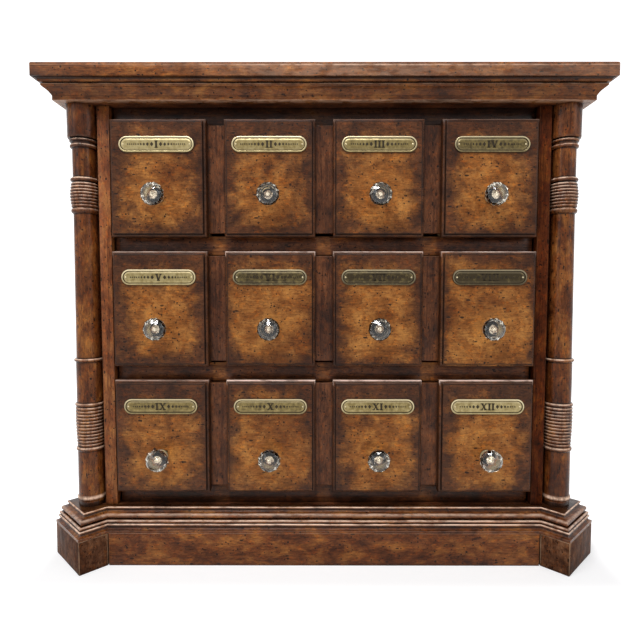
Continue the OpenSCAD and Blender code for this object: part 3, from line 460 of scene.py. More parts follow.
def solid_boxes(node):
    """Lowest and highest corner of each separate solid in a CAD node, left to right."""
    bm = cad_mesh(node)
    left = set(bm.verts)
    boxes = []
    while left:
        heap = [left.pop()]
        low = heap[0].co.copy()
        high = low.copy()
        while heap:
            vert = heap.pop()
            low = Vector(map(min, low, vert.co))
            high = Vector(map(max, high, vert.co))
            for edge in vert.link_edges:
                other = edge.other_vert(vert)
                if other in left:
                    left.discard(other)
                    heap.append(other)
        boxes.append((low, high))
    bm.free()
    return sorted(boxes, key=lambda box: [round(box[0][axis], 4) for axis in (0, 2, 1)])


def placed(name, mesh, body, nodes, sharp, layers):
    """Makes a mesh a piece that rides on a body and stands for its nodes.

    It is smooth but for edges past the angle sharp, if that is given. Each layer holds one
    value for each vertex.
    """
    for key, values in layers.items():
        mesh.attributes.new(key, "FLOAT", "POINT").data.foreach_set("value", values)
    if sharp:
        mesh.shade_smooth()
        mesh.set_sharp_from_angle(angle=math.radians(sharp))
    made = bpy.data.objects.new(name, mesh)
    bpy.context.scene.collection.objects.link(made)
    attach(made, body)
    if nodes:
        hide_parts(*nodes)


def make_piece(name, bm, finish, body, nodes, slot, sharp=34, **layers):
    """Turns a bmesh of closed solids into a named piece."""
    bmesh.ops.recalc_face_normals(bm, faces=bm.faces)
    bm.normal_update()
    mesh = bpy.data.meshes.new(name)
    bm.to_mesh(mesh)
    bm.free()
    mesh.materials.append(material(finish))
    placed(name, mesh, body, nodes, sharp, layers)


def eased(node, finish, body, slot, width=None, front_band=False):
    """A CAD board with its long arrises rounded by wear.

    Its last argument is for the top board, whose front is darkened, lightened and given a
    painted highlight band along its rounded edge, as the two front tables say.
    """
    width = width or bpy.context.scene.chest_wood.arris
    bm = cad_shell(node)
    top = max(v.co.z for v in bm.verts)
    planes = []
    if front_band:
        planes = [((0, 0, top - down), (0, 0, 1)) for down, _ in FRONT_HIGHLIGHT_LINES]
        planes += [((x, 0, 0), (1, 0, 0)) for x, _ in FRONT_LIGHTNESS[1:-1]]
    for spot, across in planes:
        bmesh.ops.bisect_plane(bm, geom=bm.verts[:] + bm.edges[:] + bm.faces[:],
                               plane_co=spot, plane_no=across)
    edges = [e for e in bm.edges if len(e.link_faces) == 2 and e.is_convex
             and e.calc_face_angle(0.0) > math.radians(30) and e.calc_length() > 6 * width]
    made = bmesh.ops.bevel(bm, geom=edges, offset=width, segments=2, profile=0.5,
                           affect="EDGES", clamp_overlap=True)
    strips = set(made["faces"])
    bm.normal_update()
    if front_band:
        worn_and_lit = [front_wear(v.co, top) for v in bm.verts]
    else:
        # Worn edges, with a painted highlight where they face up
        worn_and_lit = [min(1.0, max(0.0, 0.6 + 0.8 * v.normal.z))
                if all(f in strips for f in v.link_faces) else 0.0 for v in bm.verts]
    make_piece(node + "_wood", bm, finish, body, [node], slot, wear=worn_and_lit)


def front_wear(co, top):
    """How the top board is darkened and lightened at a spot, with its painted highlight band."""
    x = min(max(co.x, FRONT_LIGHTNESS[0][0]), FRONT_LIGHTNESS[-1][0])
    (x0, worn0), (x1, worn1) = next(pair for pair in zip(FRONT_LIGHTNESS, FRONT_LIGHTNESS[1:])
                                    if x <= pair[1][0])
    here = worn0 + (worn1 - worn0) * (x - x0) / (x1 - x0)
    for down, line in FRONT_HIGHLIGHT_LINES:
        if abs(top - down - co.z) < 1e-5:
            return line * (0.2 + 2.4 * max(here, 0.0))
    return here if co.z < top - 4 * MM else 0.0


def loft(bm, rows, closed=True):
    """Joins rows of vertices with quads; each row is a ring if closed."""
    count = len(rows[0])
    for a, b in zip(rows, rows[1:]):
        for i in range(count if closed else count - 1):
            j = (i + 1) % count
            bm.faces.new((a[i], a[j], b[j], b[i]))


def solid(bm, rows):
    """Joins rings of vertices to a solid with flat ends."""
    loft(bm, rows)
    bm.faces.new(rows[0][::-1])
    bm.faces.new(rows[-1])


def circle(count, shift=0.0):
    """Points round a circle of radius 1, as cosines and sines."""
    turns = [2 * math.pi * (i + shift) / count for i in range(count)]
    return [(math.cos(turn), math.sin(turn)) for turn in turns]


# ---------------------------------------------------------------- outlines

# Mouldings in mm, from the bottom up: up to each height, how far the face lies behind the
# foremost line, and for a hollow the height of its middle and its squared radius
BASE_STEPS = ((4.5, 0.0), (10.0, 0.0, 10.0, 30.25), (14.8, 5.5), (20.68, 7.15), (31.1, 12.0),
              (36.0, 12.0, 36.0, 24.05), (math.inf, 16.9))
CORNICE_STEPS = ((7.0, 23.0), (17.5, 1.359, -3.375, 576.0), (24.4, 13.2),
                 (math.inf, 3.2, 24.4, 25.0))
# Beads on them: height of the middle, how far that lies behind, and radius
BASE_BEADS = ((12.4, 5.5, 2.4), (17.98, 7.15, 2.7), (26.3, 12.0, 4.8), (38.0, 16.9, 2.0))
CORNICE_BEADS = ((20.89, 13.8, 3.0),)
CORNICE_BACK = 37.0
BASE_LOW, BASE_HIGH = (corner.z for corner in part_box("front_base_moulding"))
PLINTH_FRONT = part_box("front_plinth")[0].y
MOULD_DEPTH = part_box("front_base_moulding")[1].y - PLINTH_FRONT


def inset(z, steps, beads):
    """How far a moulding lies behind its foremost line at a height, in mm."""
    _, back, *hollow = next(step for step in steps if z <= step[0])
    if hollow:
        back += math.sqrt(max(0.0, hollow[1] - (z - hollow[0]) ** 2))
    for middle, behind, radius in beads:
        if abs(z - middle) < radius:
            back = min(back, behind - math.sqrt(radius ** 2 - (z - middle) ** 2))
    return back


def face_line(steps, beads, height, back):
    """A closed outline in metres: the moulded face from the bottom up, then the back."""
    count = int(height / 0.1)
    points = [(inset(min(height, i * height / count), steps, beads), i * height / count)
              for i in range(count + 1)]
    line = stayed([(d * MM, z * MM) for d, z in thinned(points, 0.05)])
    return line + [(back * MM, height * MM), (back * MM, 0.0)]


def thinned(points, tolerance):
    """A polyline with the points left out that lie on the line of their neighbours."""
    if len(points) < 3:
        return points
    start, end = Vector(points[0]), Vector(points[-1])
    run = end - start
    far, index = -1.0, 0
    for i in range(1, len(points) - 1):
        offset = Vector(points[i]) - start
        if run.length > 1e-12:
            offset = offset - run * max(0.0, min(1.0, offset.dot(run) / run.length_squared))
        if offset.length > far:
            far, index = offset.length, i
    if far <= tolerance:
        return [points[0], points[-1]]
    return thinned(points[:index + 1], tolerance)[:-1] + thinned(points[index:], tolerance)


def stayed(line, near=(0.9 * MM, 3.3 * MM)):
    """Adds points near the ends of long outline stretches, to keep wear and painted light local.
    """
    full = [line[0]]
    for a, b in zip(line, line[1:]):
        long = math.dist(a, b)
        shares = [n / long for n in near if long > 2.4 * n]
        for share in shares + [1 - s for s in reversed(shares)]:
            full.append(tuple(p + (q - p) * share for p, q in zip(a, b)))
        full.append(b)
    return full


def line_wear(line, foot=1.0):
    """How worn and lit each point of an outline is, from 1 where it is rubbed and given a
    painted highlight to -1 for painted shade and dirt in a hollow.

    Convex turns are rubbed and get painted highlights, most where they face up; the
    concave ones get painted shade and dirt. The outline runs upwards with its outside
    towards less depth. foot is a factor for the wear and highlights of its lowest 6 mm.
    """
    run = [0.0]
    for a, b in zip(line, line[1:]):
        run.append(run[-1] + math.dist(a, b))

    def spot(s):
        """The place at a length along the outline."""
        s = min(max(s, 0.0), run[-1])
        k = next((i for i in range(1, len(run)) if run[i] >= s), len(run) - 1)
        part = run[k] - run[k - 1]
        return Vector(line[k - 1]).lerp(Vector(line[k]), (s - run[k - 1]) / part if part else 0)

    def turn(s, reach):
        """How the outline turns about a point, and how much it faces up there."""
        before = spot(s) - spot(s - reach)
        after = spot(s + reach) - spot(s)
        if before.length < 1e-9 or after.length < 1e-9:
            return 0.0, 0.0
        angle = math.atan2(before.y * after.x - before.x * after.y, before.dot(after))
        return angle, (before.normalized() + after.normalized()).normalized().x

    def share(value, low, high):
        return min(1.0, max(0.0, (value - low) / (high - low)))

    worn_and_lit = []
    for s in run:
        sharp, facing = turn(s, 1.3 * MM)
        broad = turn(s, 3 * MM)[0]
        convex = max(share(sharp, 0.14, 0.58), 0.85 * share(broad, 0.3, 0.8))
        rubbed_and_lit = (convex * (0.1 + 0.9 * share(facing, -0.05, 0.55))) ** 1.4
        rubbed_and_lit *= 1 - 0.4 * share(facing, 0.75, 1.0)
        hollow = max(share(-sharp, 0.2, 0.7), 0.8 * share(-broad, 0.35, 0.9))
        worn_and_lit.append(rubbed_and_lit if convex > 0.02 else -hollow)
    # The lowest arris is worn, with a painted highlight
    worn_and_lit[0] = 0.55
    return [w * foot if w > 0 and z < 6 * MM else w for (_, z), w in zip(line, worn_and_lit)]


def moulding(name, node, finish, outline, place, ends, leans, sections, loose, top_wear,
             top_reach=0.0, foot=1.0):
    """Sweeps an outline of (depth, height) points between two ends and makes it a piece.

    place turns a depth, a length and a height into a spot, and each end leans by so much
    for each unit of depth. Vertices that loose allows are moved a hair by a smooth noise, as
    wear and planing do. The line under the top, top_reach high, gets no more than the value
    for the top: painted shade under the cornice's top board and on top of the base moulding.
    """
    bm = bmesh.new()
    rows, worn_and_lit = [], []
    line = line_wear(outline[:-2], foot)
    below = outline[-3][1] - top_reach
    line = [min(w, top_wear) if z >= below else w for (_, z), w in zip(outline, line)]
    line += [top_wear, 0.0]
    for k in range(sections + 1):
        share = k / sections
        row = []
        for depth, height in outline:
            start, end = (end + lean * depth for end, lean in zip(ends, leans))
            row.append(bm.verts.new(place(depth, start * (1 - share) + end * share, height)))
        rows.append(row)
        worn_and_lit += line
    solid(bm, rows)
    for vert in bm.verts:
        if loose(vert.co):
            vert.co += (noise.noise_vector(vert.co / (28 * MM))
                        * bpy.context.scene.chest_wood.wobble)
    make_piece(name, bm, finish, "carcass", [node], "walnut", wear=worn_and_lit)


def column_radius(z, top):
    """Radius of the turned column at a height above its foot, in mm."""
    radius = 0.0

    def turned(z0, r0, z1, r1):
        nonlocal radius
        if z0 <= z <= z1:
            radius = max(radius, r0 + (r1 - r0) * (z - z0) / (z1 - z0))

    def ring(at, outer, bead):
        nonlocal radius
        if abs(z - at) < bead:
            radius = max(radius, outer - bead + math.sqrt(bead ** 2 - (z - at) ** 2))

    def reeds(z0, count, step, r, swell, sweep):
        bead = step * 0.54
        turned(z0, r - bead * 0.75, z0 + count * step, r - bead * 0.75)
        for i in range(count):
            ring(z0 + step * (i + 0.5),
                 r + swell * math.sin(math.radians(sweep * i / (count - 1))), bead)

    # Foot and plain drum
    turned(0, 22.6, 101, 22.15)
    ring(14.3, 24.3, 6.2)
    ring(101, 24.3, 4)
    turned(101, 20.57, 105.4, 20.57)
    # Lower reeds and the rings above them
    reeds(105.4, 12, 5.8, 22.6, 1.7, 120)
    turned(175, 21.5, 257.2, 21.5)
    ring(179.2, 24.5, 3.2)
    ring(257.2, 24.3, 2.8)
    # Tapering shaft and upper reeds, which keep their distance from the top
    turned(257.2, 20.5, top - 176.3, 18.9)
    ring(top - 176.3, 22.5, 5.2)
    turned(top - 176.3, 18.9, top - 171, 18.9)
    reeds(top - 171, 8, 5.2, 22.1, 1.7, 180)
    # Neck rings and capital
    turned(top - 129.4, 18.8, top - 67.5, 18.8)
    ring(top - 123.8, 22.8, 3.3)
    ring(top - 67.5, 22.27, 3.2)
    turned(top - 67.5, 20.25, top - 54.5, 20.25)
    ring(top - 58.46, 22.72, 2.2)
    turned(top - 54.5, 24.7, top - 52.3, 25.61)
    turned(top - 52.3, 25.61, top, 26)
    return radius


# ---------------------------------------------------------------- case

class CHEST_OT_top(bpy.types.Operator):
    """Makes the top board, the board under it and the mitred cornice"""
    bl_idname = "chest.top"
    bl_label = "Top and cornice"

    def execute(self, context):
        eased("top_board", "walnut_across", "carcass", "walnut", 0.8 * MM, front_band=True)
        eased("sub_top", "walnut_inside", "carcass", "walnut", 0.5 * MM)
        low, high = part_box("front_cornice")
        (_, front, _), (half, back, _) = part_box("top_board")
        outline = face_line(CORNICE_STEPS, CORNICE_BEADS, (high.z - low.z) / MM, CORNICE_BACK)
        # Painted shade in a line 2.6 mm high under the top board
        rest = (lambda co: (low.z + JOINT_HELD < co.z < high.z - JOINT_HELD
                            and co.y < back - JOINT_HELD),
                -1.0, 2.6 * MM)
        moulding("front_cornice_moulding", "front_cornice", "walnut_cornice", outline,
                 lambda d, s, z: (s, front + d, low.z + z), (-half, half), (1, -1), 40, *rest)
        for side, word in SIDES:
            moulding(word + "_cornice_moulding", word + "_cornice", "walnut_cornice_deep",
                     outline, lambda d, s, z: (side * (half - d), s, low.z + z),
                     (front, back), (1, 0), 20, *rest)
        return {"FINISHED"}


class CHEST_OT_columns(bpy.types.Operator):
    """Turns the two columns with their rings, reeds and capitals"""
    bl_idname = "chest.columns"
    bl_label = "Turned columns"

    def execute(self, context):
        for _, word in SIDES:
            low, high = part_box(word + "_column")
            axis = (low + high) / 2
            height = (high.z - low.z) / MM
            count = int(height / 0.3)
            points = [(column_radius(i * height / count, height), i * height / count)
                      for i in range(count + 1)]
            line = stayed([(-r * MM, z * MM) for r, z in thinned(points, 0.04)])
            bm = bmesh.new()
            rows, wear = [], []
            round_points = circle(72)
            for (depth, z), worn_and_lit in zip(line, line_wear(line)):
                # Painted shade and dirt at the foot, and wear with a painted highlight on the foot
                # ring at its widest
                if z < 8 * MM:
                    worn_and_lit = -0.9
                elif z < 21 * MM:
                    worn_and_lit = max(worn_and_lit, 1 - abs(z / MM - 15.5) / 4)
                wear += [worn_and_lit] * len(round_points)
                row = []
                for x, y in round_points:
                    out = Vector((x, y, 0))
                    spot = Vector((axis.x, axis.y, low.z + z)) - out * depth
                    dent = noise.noise(spot / (17 * MM)) * 0.12 * MM
                    if 0 < z < height * MM:
                        spot += out * min(0.0, dent)
                    row.append(bm.verts.new(spot))
                rows.append(row)
            solid(bm, rows)
            make_piece(word + "_turned_column", bm, "walnut_turned", "carcass",
                       [word + "_column"], "walnut", 40, wear=wear)
        return {"FINISHED"}


class CHEST_OT_case(bpy.types.Operator):
    """Makes posts, side panels, rails, back and the boards inside"""
    bl_idname = "chest.case"
    bl_label = "Case"

    def execute(self, context):
        for _, word in SIDES:
            eased(word + "_post", "walnut_stile_" + word, "carcass", "walnut")
            eased(word + "_side_panel", "walnut_upright", "carcass", "walnut")
        for word in ("upper", "lower"):
            eased(word + "_rail", "walnut_rail", "carcass", "dark_walnut")
        for word in ("top", "bottom"):
            eased(word + "_rail", "walnut_" + word + "_rail", "carcass", "dark_walnut")
        for node, finish, width in (("back_panel", "plain_wood_across", 0.4),
                                    ("bottom_board", "walnut_inside", 0.4),
                                    ("drawer_runners", "plain_wood_deep", 0.6),
                                    ("drawer_stops", "plain_wood_across", 0.4)):
            eased(node, finish, "carcass", "inner_wood", width * MM)
        return {"FINISHED"}


class CHEST_OT_base(bpy.types.Operator):
    """Makes the plinth, the corner blocks and the mitred base moulding"""
    bl_idname = "chest.base"
    bl_label = "Base"

    def execute(self, context):
        eased("front_plinth", "walnut_plinth", "carcass", "walnut", 0.7 * MM)
        for node in ("back_plinth", "glue_blocks"):
            eased(node, "plain_wood_across", "carcass", "inner_wood", 0.5 * MM)
        for _, word in SIDES:
            eased(word + "_plinth", "walnut_deep", "carcass", "walnut", 0.7 * MM)
            eased(word + "_corner_block", "walnut_block", "carcass", "walnut", 1.5 * MM)
        outline = face_line(BASE_STEPS, BASE_BEADS, (BASE_HIGH - BASE_LOW) / MM,
                            MOULD_DEPTH / MM)
        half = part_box("front_plinth")[1].x
        (_, rear, _), (outer, back, _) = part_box("right_plinth")
        # Mitres at the corner blocks are half of 45 degrees
        lean = math.tan(math.radians(22.5))
        # Painted shade on the moulding's top, and weaker wear and painted highlights at its foot
        wear = {"top_wear": -0.8, "foot": 0.12}

        def inside(co):
            return BASE_LOW + JOINT_HELD < co.z < BASE_HIGH - JOINT_HELD

        moulding("front_base_beading", "front_base_moulding", "walnut_moulded", outline,
                 lambda d, s, z: (s, PLINTH_FRONT + d, BASE_LOW + z), (-half, half),
                 (-lean, lean), 40,
                 lambda co: inside(co) and abs(co.x) < half - MITRE_HELD, **wear)
        for side, word in SIDES:
            moulding(word + "_base_beading", word + "_base_moulding", "walnut_moulded_deep",
                     outline, lambda d, s, z: (side * (outer - d), s, BASE_LOW + z),
                     (rear, back), (-lean, 0), 18,
                     lambda co: inside(co) and rear + MITRE_HELD < co.y < back - MITRE_HELD,
                     **wear)
            self.corner_cap(word, side, outline[:-2], half, outer, rear, lean, wear)
        return {"FINISHED"}

    def corner_cap(self, word, side, face, start, outer, rear, lean, wear):
        """The moulding that goes round a corner block, on the outlines' own mitres."""
        leg = PLINTH_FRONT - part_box("right_corner_block")[0].y
        corners = [Vector((start, PLINTH_FRONT)), Vector((start + leg, PLINTH_FRONT - leg)),
                   Vector((outer + leg, rear - leg)), Vector((outer, rear))]
        root = math.sqrt(2)
        inward = [Vector((lean, 1)), Vector((0, root)), Vector((-root, 0)),
                  Vector((-1, -lean))]
        inner = [corners[3] + inward[3] * MOULD_DEPTH,
                 Vector((outer - MOULD_DEPTH, PLINTH_FRONT + MOULD_DEPTH)),
                 corners[0] + inward[0] * MOULD_DEPTH]
        bm = bmesh.new()
        rows, worn_and_lit = [], []
        for (depth, z), rubbed_and_lit in zip(face, line_wear(face, wear["foot"])):
            ring = [corner + way * depth for corner, way in zip(corners, inward)]
            line = []
            for a, b in zip(ring, ring[1:]):
                line += [a.lerp(b, k / 6) for k in range(6)]
            line.append(ring[3])
            if z >= face[-1][1]:
                rubbed_and_lit = wear["top_wear"]
            worn_and_lit += [rubbed_and_lit] * len(line) + [min(rubbed_and_lit, 0.0)] * len(inner)
            rows.append([bm.verts.new((side * p.x, p.y, BASE_LOW + z)) for p in line + inner])
        solid(bm, rows)
        make_piece(word + "_corner_beading", bm, "walnut_moulded", "carcass",
                   [word + "_corner_cap"], "walnut", wear=worn_and_lit)


# ---------------------------------------------------------------- drawers

class CHEST_OT_drawer_boxes(bpy.types.Operator):
    """Makes each drawer's front board, sides, back and bottom"""
    bl_idname = "chest.drawer_boxes"
    bl_label = "Drawer boxes"

    def execute(self, context):
        for word in FRONTS:
            body = word + "_drawer"
            eased(body + "_front", "walnut_front", body, "dark_walnut", 0.6 * MM)
            for part, finish, width in (("_left_side", "plain_wood_deep", 0.8),
                                        ("_right_side", "plain_wood_deep", 0.8),
                                        ("_back", "plain_wood_across", 0.8),
                                        ("_bottom", "plain_wood_across", 0.3)):
                eased(body + part, finish, body, "inner_wood", width * MM)
        return {"FINISHED"}


class CHEST_OT_panels(bpy.types.Operator):
    """Makes the raised panels with their mitred, moulded edges"""
    bl_idname = "chest.panels"
    bl_label = "Raised panels"

    def execute(self, context):
        # Depth of each line in from the panel's edge and how far it stands out, in mm, and how
        # it is worn and lit along the upper edge and along the others (above 0 a painted
        # highlight with wear, below 0 painted shade): first the rounded edge
        edge = [(0.0, 0.0, 0.0, -0.2), (0.0, 9.2, 0.2, -0.75), (0.25, 9.9, 0.8, -0.6)]
        for k in range(1, 8):
            turn = math.radians(90 * k / 8)
            edge.append((4.2 - 4.2 * math.cos(turn), 9.5 + 4.1 * math.sin(turn),
                         max(0.0, 1.1 - 0.28 * abs(k - 1.5)), -0.35 / k ** 2))
        # Then the quirk behind it and the small round up to the face, mostly in painted shade
        edge += [(3.9, 13.6, 0.2, -0.6), (4.3, 13.3, 0.15, -1.0), (4.45, 13.4, 0.1, -1.0),
                 (4.5, 16.8, 0.0, -1.0)]
        for k, worn_and_lit in enumerate(((0.1, -0.95), (0.0, -0.9), (-0.4, -0.8), (-0.8, -0.5),
                                  (-1.0, -0.2), (-0.8, 0.0)), 1):
            turn = math.radians(90 * k / 6)
            edge.append((6.5 - 2.0 * math.cos(turn), 16.9 + 2.1 * math.sin(turn), *worn_and_lit))
        edge.append((7.4, 19.0, 0.0, 0.0))
        for word, fronts in FRONTS.items():
            body = word + "_drawer"
            bm = bmesh.new()
            wear, middle = [], []
            for (low, high), (_, _, light, shine) in zip(solid_boxes(body + "_panels"), fronts):
                self.panel(bm, low, high, edge, wear, middle, light, shine)
            make_piece(body + "_raised_panels", bm, "walnut_panel", body, [body + "_panels"],
                       "panel_walnut", 42, wear=wear, middle=middle)
        return {"FINISHED"}

    def panel(self, bm, low, high, edge, wear, middle, light, shine):
        """One panel: rings of the moulded edge, then a slightly uneven face."""
        across, up = 16, 20
        width, _, tall = high - low
        scale = (high.y - low.y) / PANEL_THICKNESS

        def keep(co, worn_and_lit):
            """Adds a vertex and notes how worn and lit and how far from the edge it is."""
            u = (co.x - low.x) / width * 2 - 1
            v = (co.z - low.z) / tall * 2 - 1
            wear.append(worn_and_lit)
            # Painted light about and under the knob, where its glass throws light, with hand wear
            knob_light_and_wear = math.exp(-(u * u * 6 + (v + 0.45) ** 2 * 9))
            shape = max(0.0, (1 - abs(u) ** 2.4) * (1 - abs(v + 0.1) ** 2.6))
            middle.append((1 + light) * shape + 0.3 * light + 0.55 * knob_light_and_wear)
            return bm.verts.new(co)

        rows = []
        for side, out, worn_and_lit, side_shade in edge:
            x0, x1 = low.x + side * MM, high.x - side * MM
            z0, z1 = low.z + side * MM, high.z - side * MM
            ring = [(x0 + (x1 - x0) * k / across, z0) for k in range(across)]
            ring += [(x1, z0 + (z1 - z0) * k / up) for k in range(up)]
            ring += [(x1 + (x0 - x1) * k / across, z1) for k in range(across)]
            ring += [(x0, z1 + (z0 - z1) * k / up) for k in range(up)]
            if worn_and_lit > 0:
                worn_and_lit *= shine
            rows.append([keep(Vector((x, high.y - out * scale, z)),
                              worn_and_lit if z > z1 - 0.1 * MM else side_shade) for x, z in ring])
        loft(bm, rows)
        bm.faces.new(rows[0][::-1])
        grid = {}
        outer = rows[-1]
        for i in range(across):
            grid[(i, 0)] = outer[i]
            grid[(across - i, up)] = outer[across + up + i]
        for j in range(up):
            grid[(across, j)] = outer[across + j]
            grid[(0, up - j)] = outer[2 * across + up + j]
        for i in range(1, across):
            for j in range(1, up):
                x, z = x0 + (x1 - x0) * i / across, z0 + (z1 - z0) * j / up
                sink = (noise.noise(Vector((x, z, high.y)) / (55 * MM)) - 0.4) * 0.25 * MM
                grid[(i, j)] = keep(Vector((x, low.y - min(0.0, sink), z)), 0.0)
        for i in range(across):
            for j in range(up):
                bm.faces.new((grid[(i, j)], grid[(i + 1, j)], grid[(i + 1, j + 1)],
                              grid[(i, j + 1)]))


# ---------------------------------------------------------------- plates

def stadium(length, height, turns=16):
    """Points of a plate's outline with half-round ends, as (x, z) pairs."""
    points = []
    radius = height / 2
    for end, start in ((1, -90), (-1, 90)):
        for k in range(turns + 1):
            turn = math.radians(start + 180 * k / turns)
            points.append((end * (length / 2 - radius) + radius * math.cos(turn),
                           radius * math.sin(turn)))
    return points


def strokes(text, height):
    """Strokes of a Roman numeral as top x, foot x and width, and the numeral's width."""
    thick, thin, gap = height * 0.24, height * 0.13, height * 0.3
    parts, x = [], 0.0
    for letter in text:
        wide = thick if letter == "I" else height * 0.78
        if letter == "I":
            parts.append((x + wide / 2, x + wide / 2, thick))
        elif letter == "V":
            parts += [(x + thick / 2, x + wide / 2, thick),
                      (x + wide - thin / 2, x + wide / 2, thin)]
        else:
            parts += [(x + thick / 2, x + wide - thick / 2, thick),
                      (x + wide - thin / 2, x + thin / 2, thin)]
        x += wide + gap
    width = x - gap
    return [(a - width / 2, b - width / 2, w) for a, b, w in parts], width


class CHEST_OT_plates(bpy.types.Operator):
    """Makes the brass label plates with plain numerals and their pins"""
    bl_idname = "chest.plates"
    bl_label = "Label plates"

    def execute(self, context):
        fittings = context.scene.chest_fittings
        tones = random.Random(4)
        tree = pin_tree()
        for word, fronts in FRONTS.items():
            body = word + "_drawer"
            plates, marks = bmesh.new(), bmesh.new()
            wear, patina, pins = [], [], []
            for (low, high), (numeral, tone, _, _) in zip(solid_boxes(body + "_plates"), fronts):
                tone += tones.uniform(-0.04, 0.04)
                self.plate(plates, low, high, wear, patina, tone, fittings.rim_width / MM)
                self.numeral(marks, low, high, numeral, fittings.numeral_height)
                for x in (low.x + PIN_FROM_END, high.x - PIN_FROM_END):
                    pins.append((x, low.y + PIN_DEPTH, (low.z + high.z) / 2))
            make_piece(body + "_brass_plates", plates, "aged_brass", body, [body + "_plates"],
                       "aged_brass", 38, wear=wear, patina=patina)
            make_piece(body + "_numerals", marks, "numeral_brown", body, (), "aged_brass", 30)
            instanced(body + "_plate_pins", pins, tree, {"Radius": fittings.pin_radius},
                      "aged_brass", body, (), "aged_brass", 34, wear=0.7, patina=0.2)
        return {"FINISHED"}

    def plate(self, bm, low, high, wear, patina, tone, rim):
        """One plate: a rounded rim, a sunk line and a slightly domed field."""
        centre = (low + high) / 2
        length, full, height = (high - low) / MM
        # How far each line lies in from the plate's edge, how far it stands out, and its wear
        # and painted light
        lines = [(0, 0, -1.0), (0, full - 0.7, 0.1), (0.2, full - 0.25, 0.8), (0.7, full, 1.0),
                 (rim - 0.7, full, 1.0), (rim - 0.2, full - 0.25, 0.8),
                 (rim, full - 1.05, -1.0), (rim + 1.2, full - 1.1, -1.0),
                 (rim + 1.7, full - 0.75, 0.55), (rim + 2.0, full - 0.55, 0.35),
                 (rim + 5.0, full - 0.5, 0.0)]
        rows = []
        bright = min(1.0, max(0.25, 1.2 - 1.5 * tone))
        for side, out, worn_and_lit in lines:
            row = []
            for x, z in stadium(length - 2 * side, height - 2 * side):
                row.append(bm.verts.new((centre.x + x * MM, high.y - out * MM,
                                         centre.z + z * MM)))
                # The upper side of the rim gets the most wear and a painted highlight
                wear.append(worn_and_lit if worn_and_lit < 0 else worn_and_lit * bright * (0.55 + 0.9 * z / height))
                patina.append(tone)
            rows.append(row)
        solid(bm, rows)

    def numeral(self, bm, low, high, text, tall):
        """Raised strokes with serifs, and a row of lozenges on each side."""
        centre = (low + high) / 2

        def slab(*points):
            solid(bm, [[bm.verts.new((centre.x + x, low.y + y, centre.z + z))
                        for x, z in points] for y in NUMERAL_DEPTHS])

        parts, width = strokes(text, tall)
        for top, foot, w in parts:
            slab((foot - w / 2, -tall / 2), (foot + w / 2, -tall / 2),
                 (top + w / 2, tall / 2), (top - w / 2, tall / 2))
            for x, z, flip in ((top, tall / 2, -1), (foot, -tall / 2, 1)):
                reach = w / 2 + tall * 0.1
                inner = z + flip * tall * 0.1
                slab((x - reach, z), (x + reach, z), (x + reach, inner), (x - reach, inner))
        # Lozenges grow smaller outwards and stop short of the pins
        for side in (-1, 1):
            near, size = width / 2 + 6 * MM, 3.4 * MM
            while near + size < (high.x - low.x) / 2 - 13 * MM:
                slab((side * (near - size * 0.8), 0), (side * near, -size),
                     (side * (near + size * 0.8), 0), (side * near, size))
                near += size * 1.7 + 1.2 * MM
                size = max(1.3 * MM, size * 0.82)


# ---------------------------------------------------------------- node trees

def new_tree(name, sizes):
    """A Geometry Nodes tree with points, named sizes and a material as inputs."""
    tree = bpy.data.node_groups.new(name, "GeometryNodeTree")
    tree.interface.new_socket("Geometry", in_out="INPUT", socket_type="NodeSocketGeometry")
    for key, value in sizes.items():
        socket = tree.interface.new_socket(key, in_out="INPUT", socket_type="NodeSocketFloat")
        socket.default_value = value
    tree.interface.new_socket("Material", in_out="INPUT", socket_type="NodeSocketMaterial")
    tree.interface.new_socket("Geometry", in_out="OUTPUT", socket_type="NodeSocketGeometry")
    return tree, add(tree, "NodeGroupInput")


def closing(tree, entry, instances):
    """Realizes the instances, gives them the material and ends the tree."""
    real = add(tree, "GeometryNodeRealizeInstances", {"Geometry": (instances, 0)})
    done = add(tree, "GeometryNodeSetMaterial", {"Geometry": (real, 0),
               "Material": (entry, "Material")})
    add(tree, "NodeGroupOutput", {0: (done, 0)})
    return tree


def pin_tree():
    """Domed heads on points, flat side to the back."""
    tree, entry = new_tree("pin_heads", {"Radius": 1.5 * MM})
    ball = add(tree, "GeometryNodeMeshUVSphere", {"Segments": 16, "Rings": 8,
               "Radius": (entry, "Radius")})
    dome = add(tree, "GeometryNodeTransform", {"Geometry": (ball, 0), "Scale": (1.0, 0.5, 1.0)})
    spread = add(tree, "GeometryNodeInstanceOnPoints", {"Points": (entry, "Geometry"),
                 "Instance": (dome, 0)})
    return closing(tree, entry, spread)


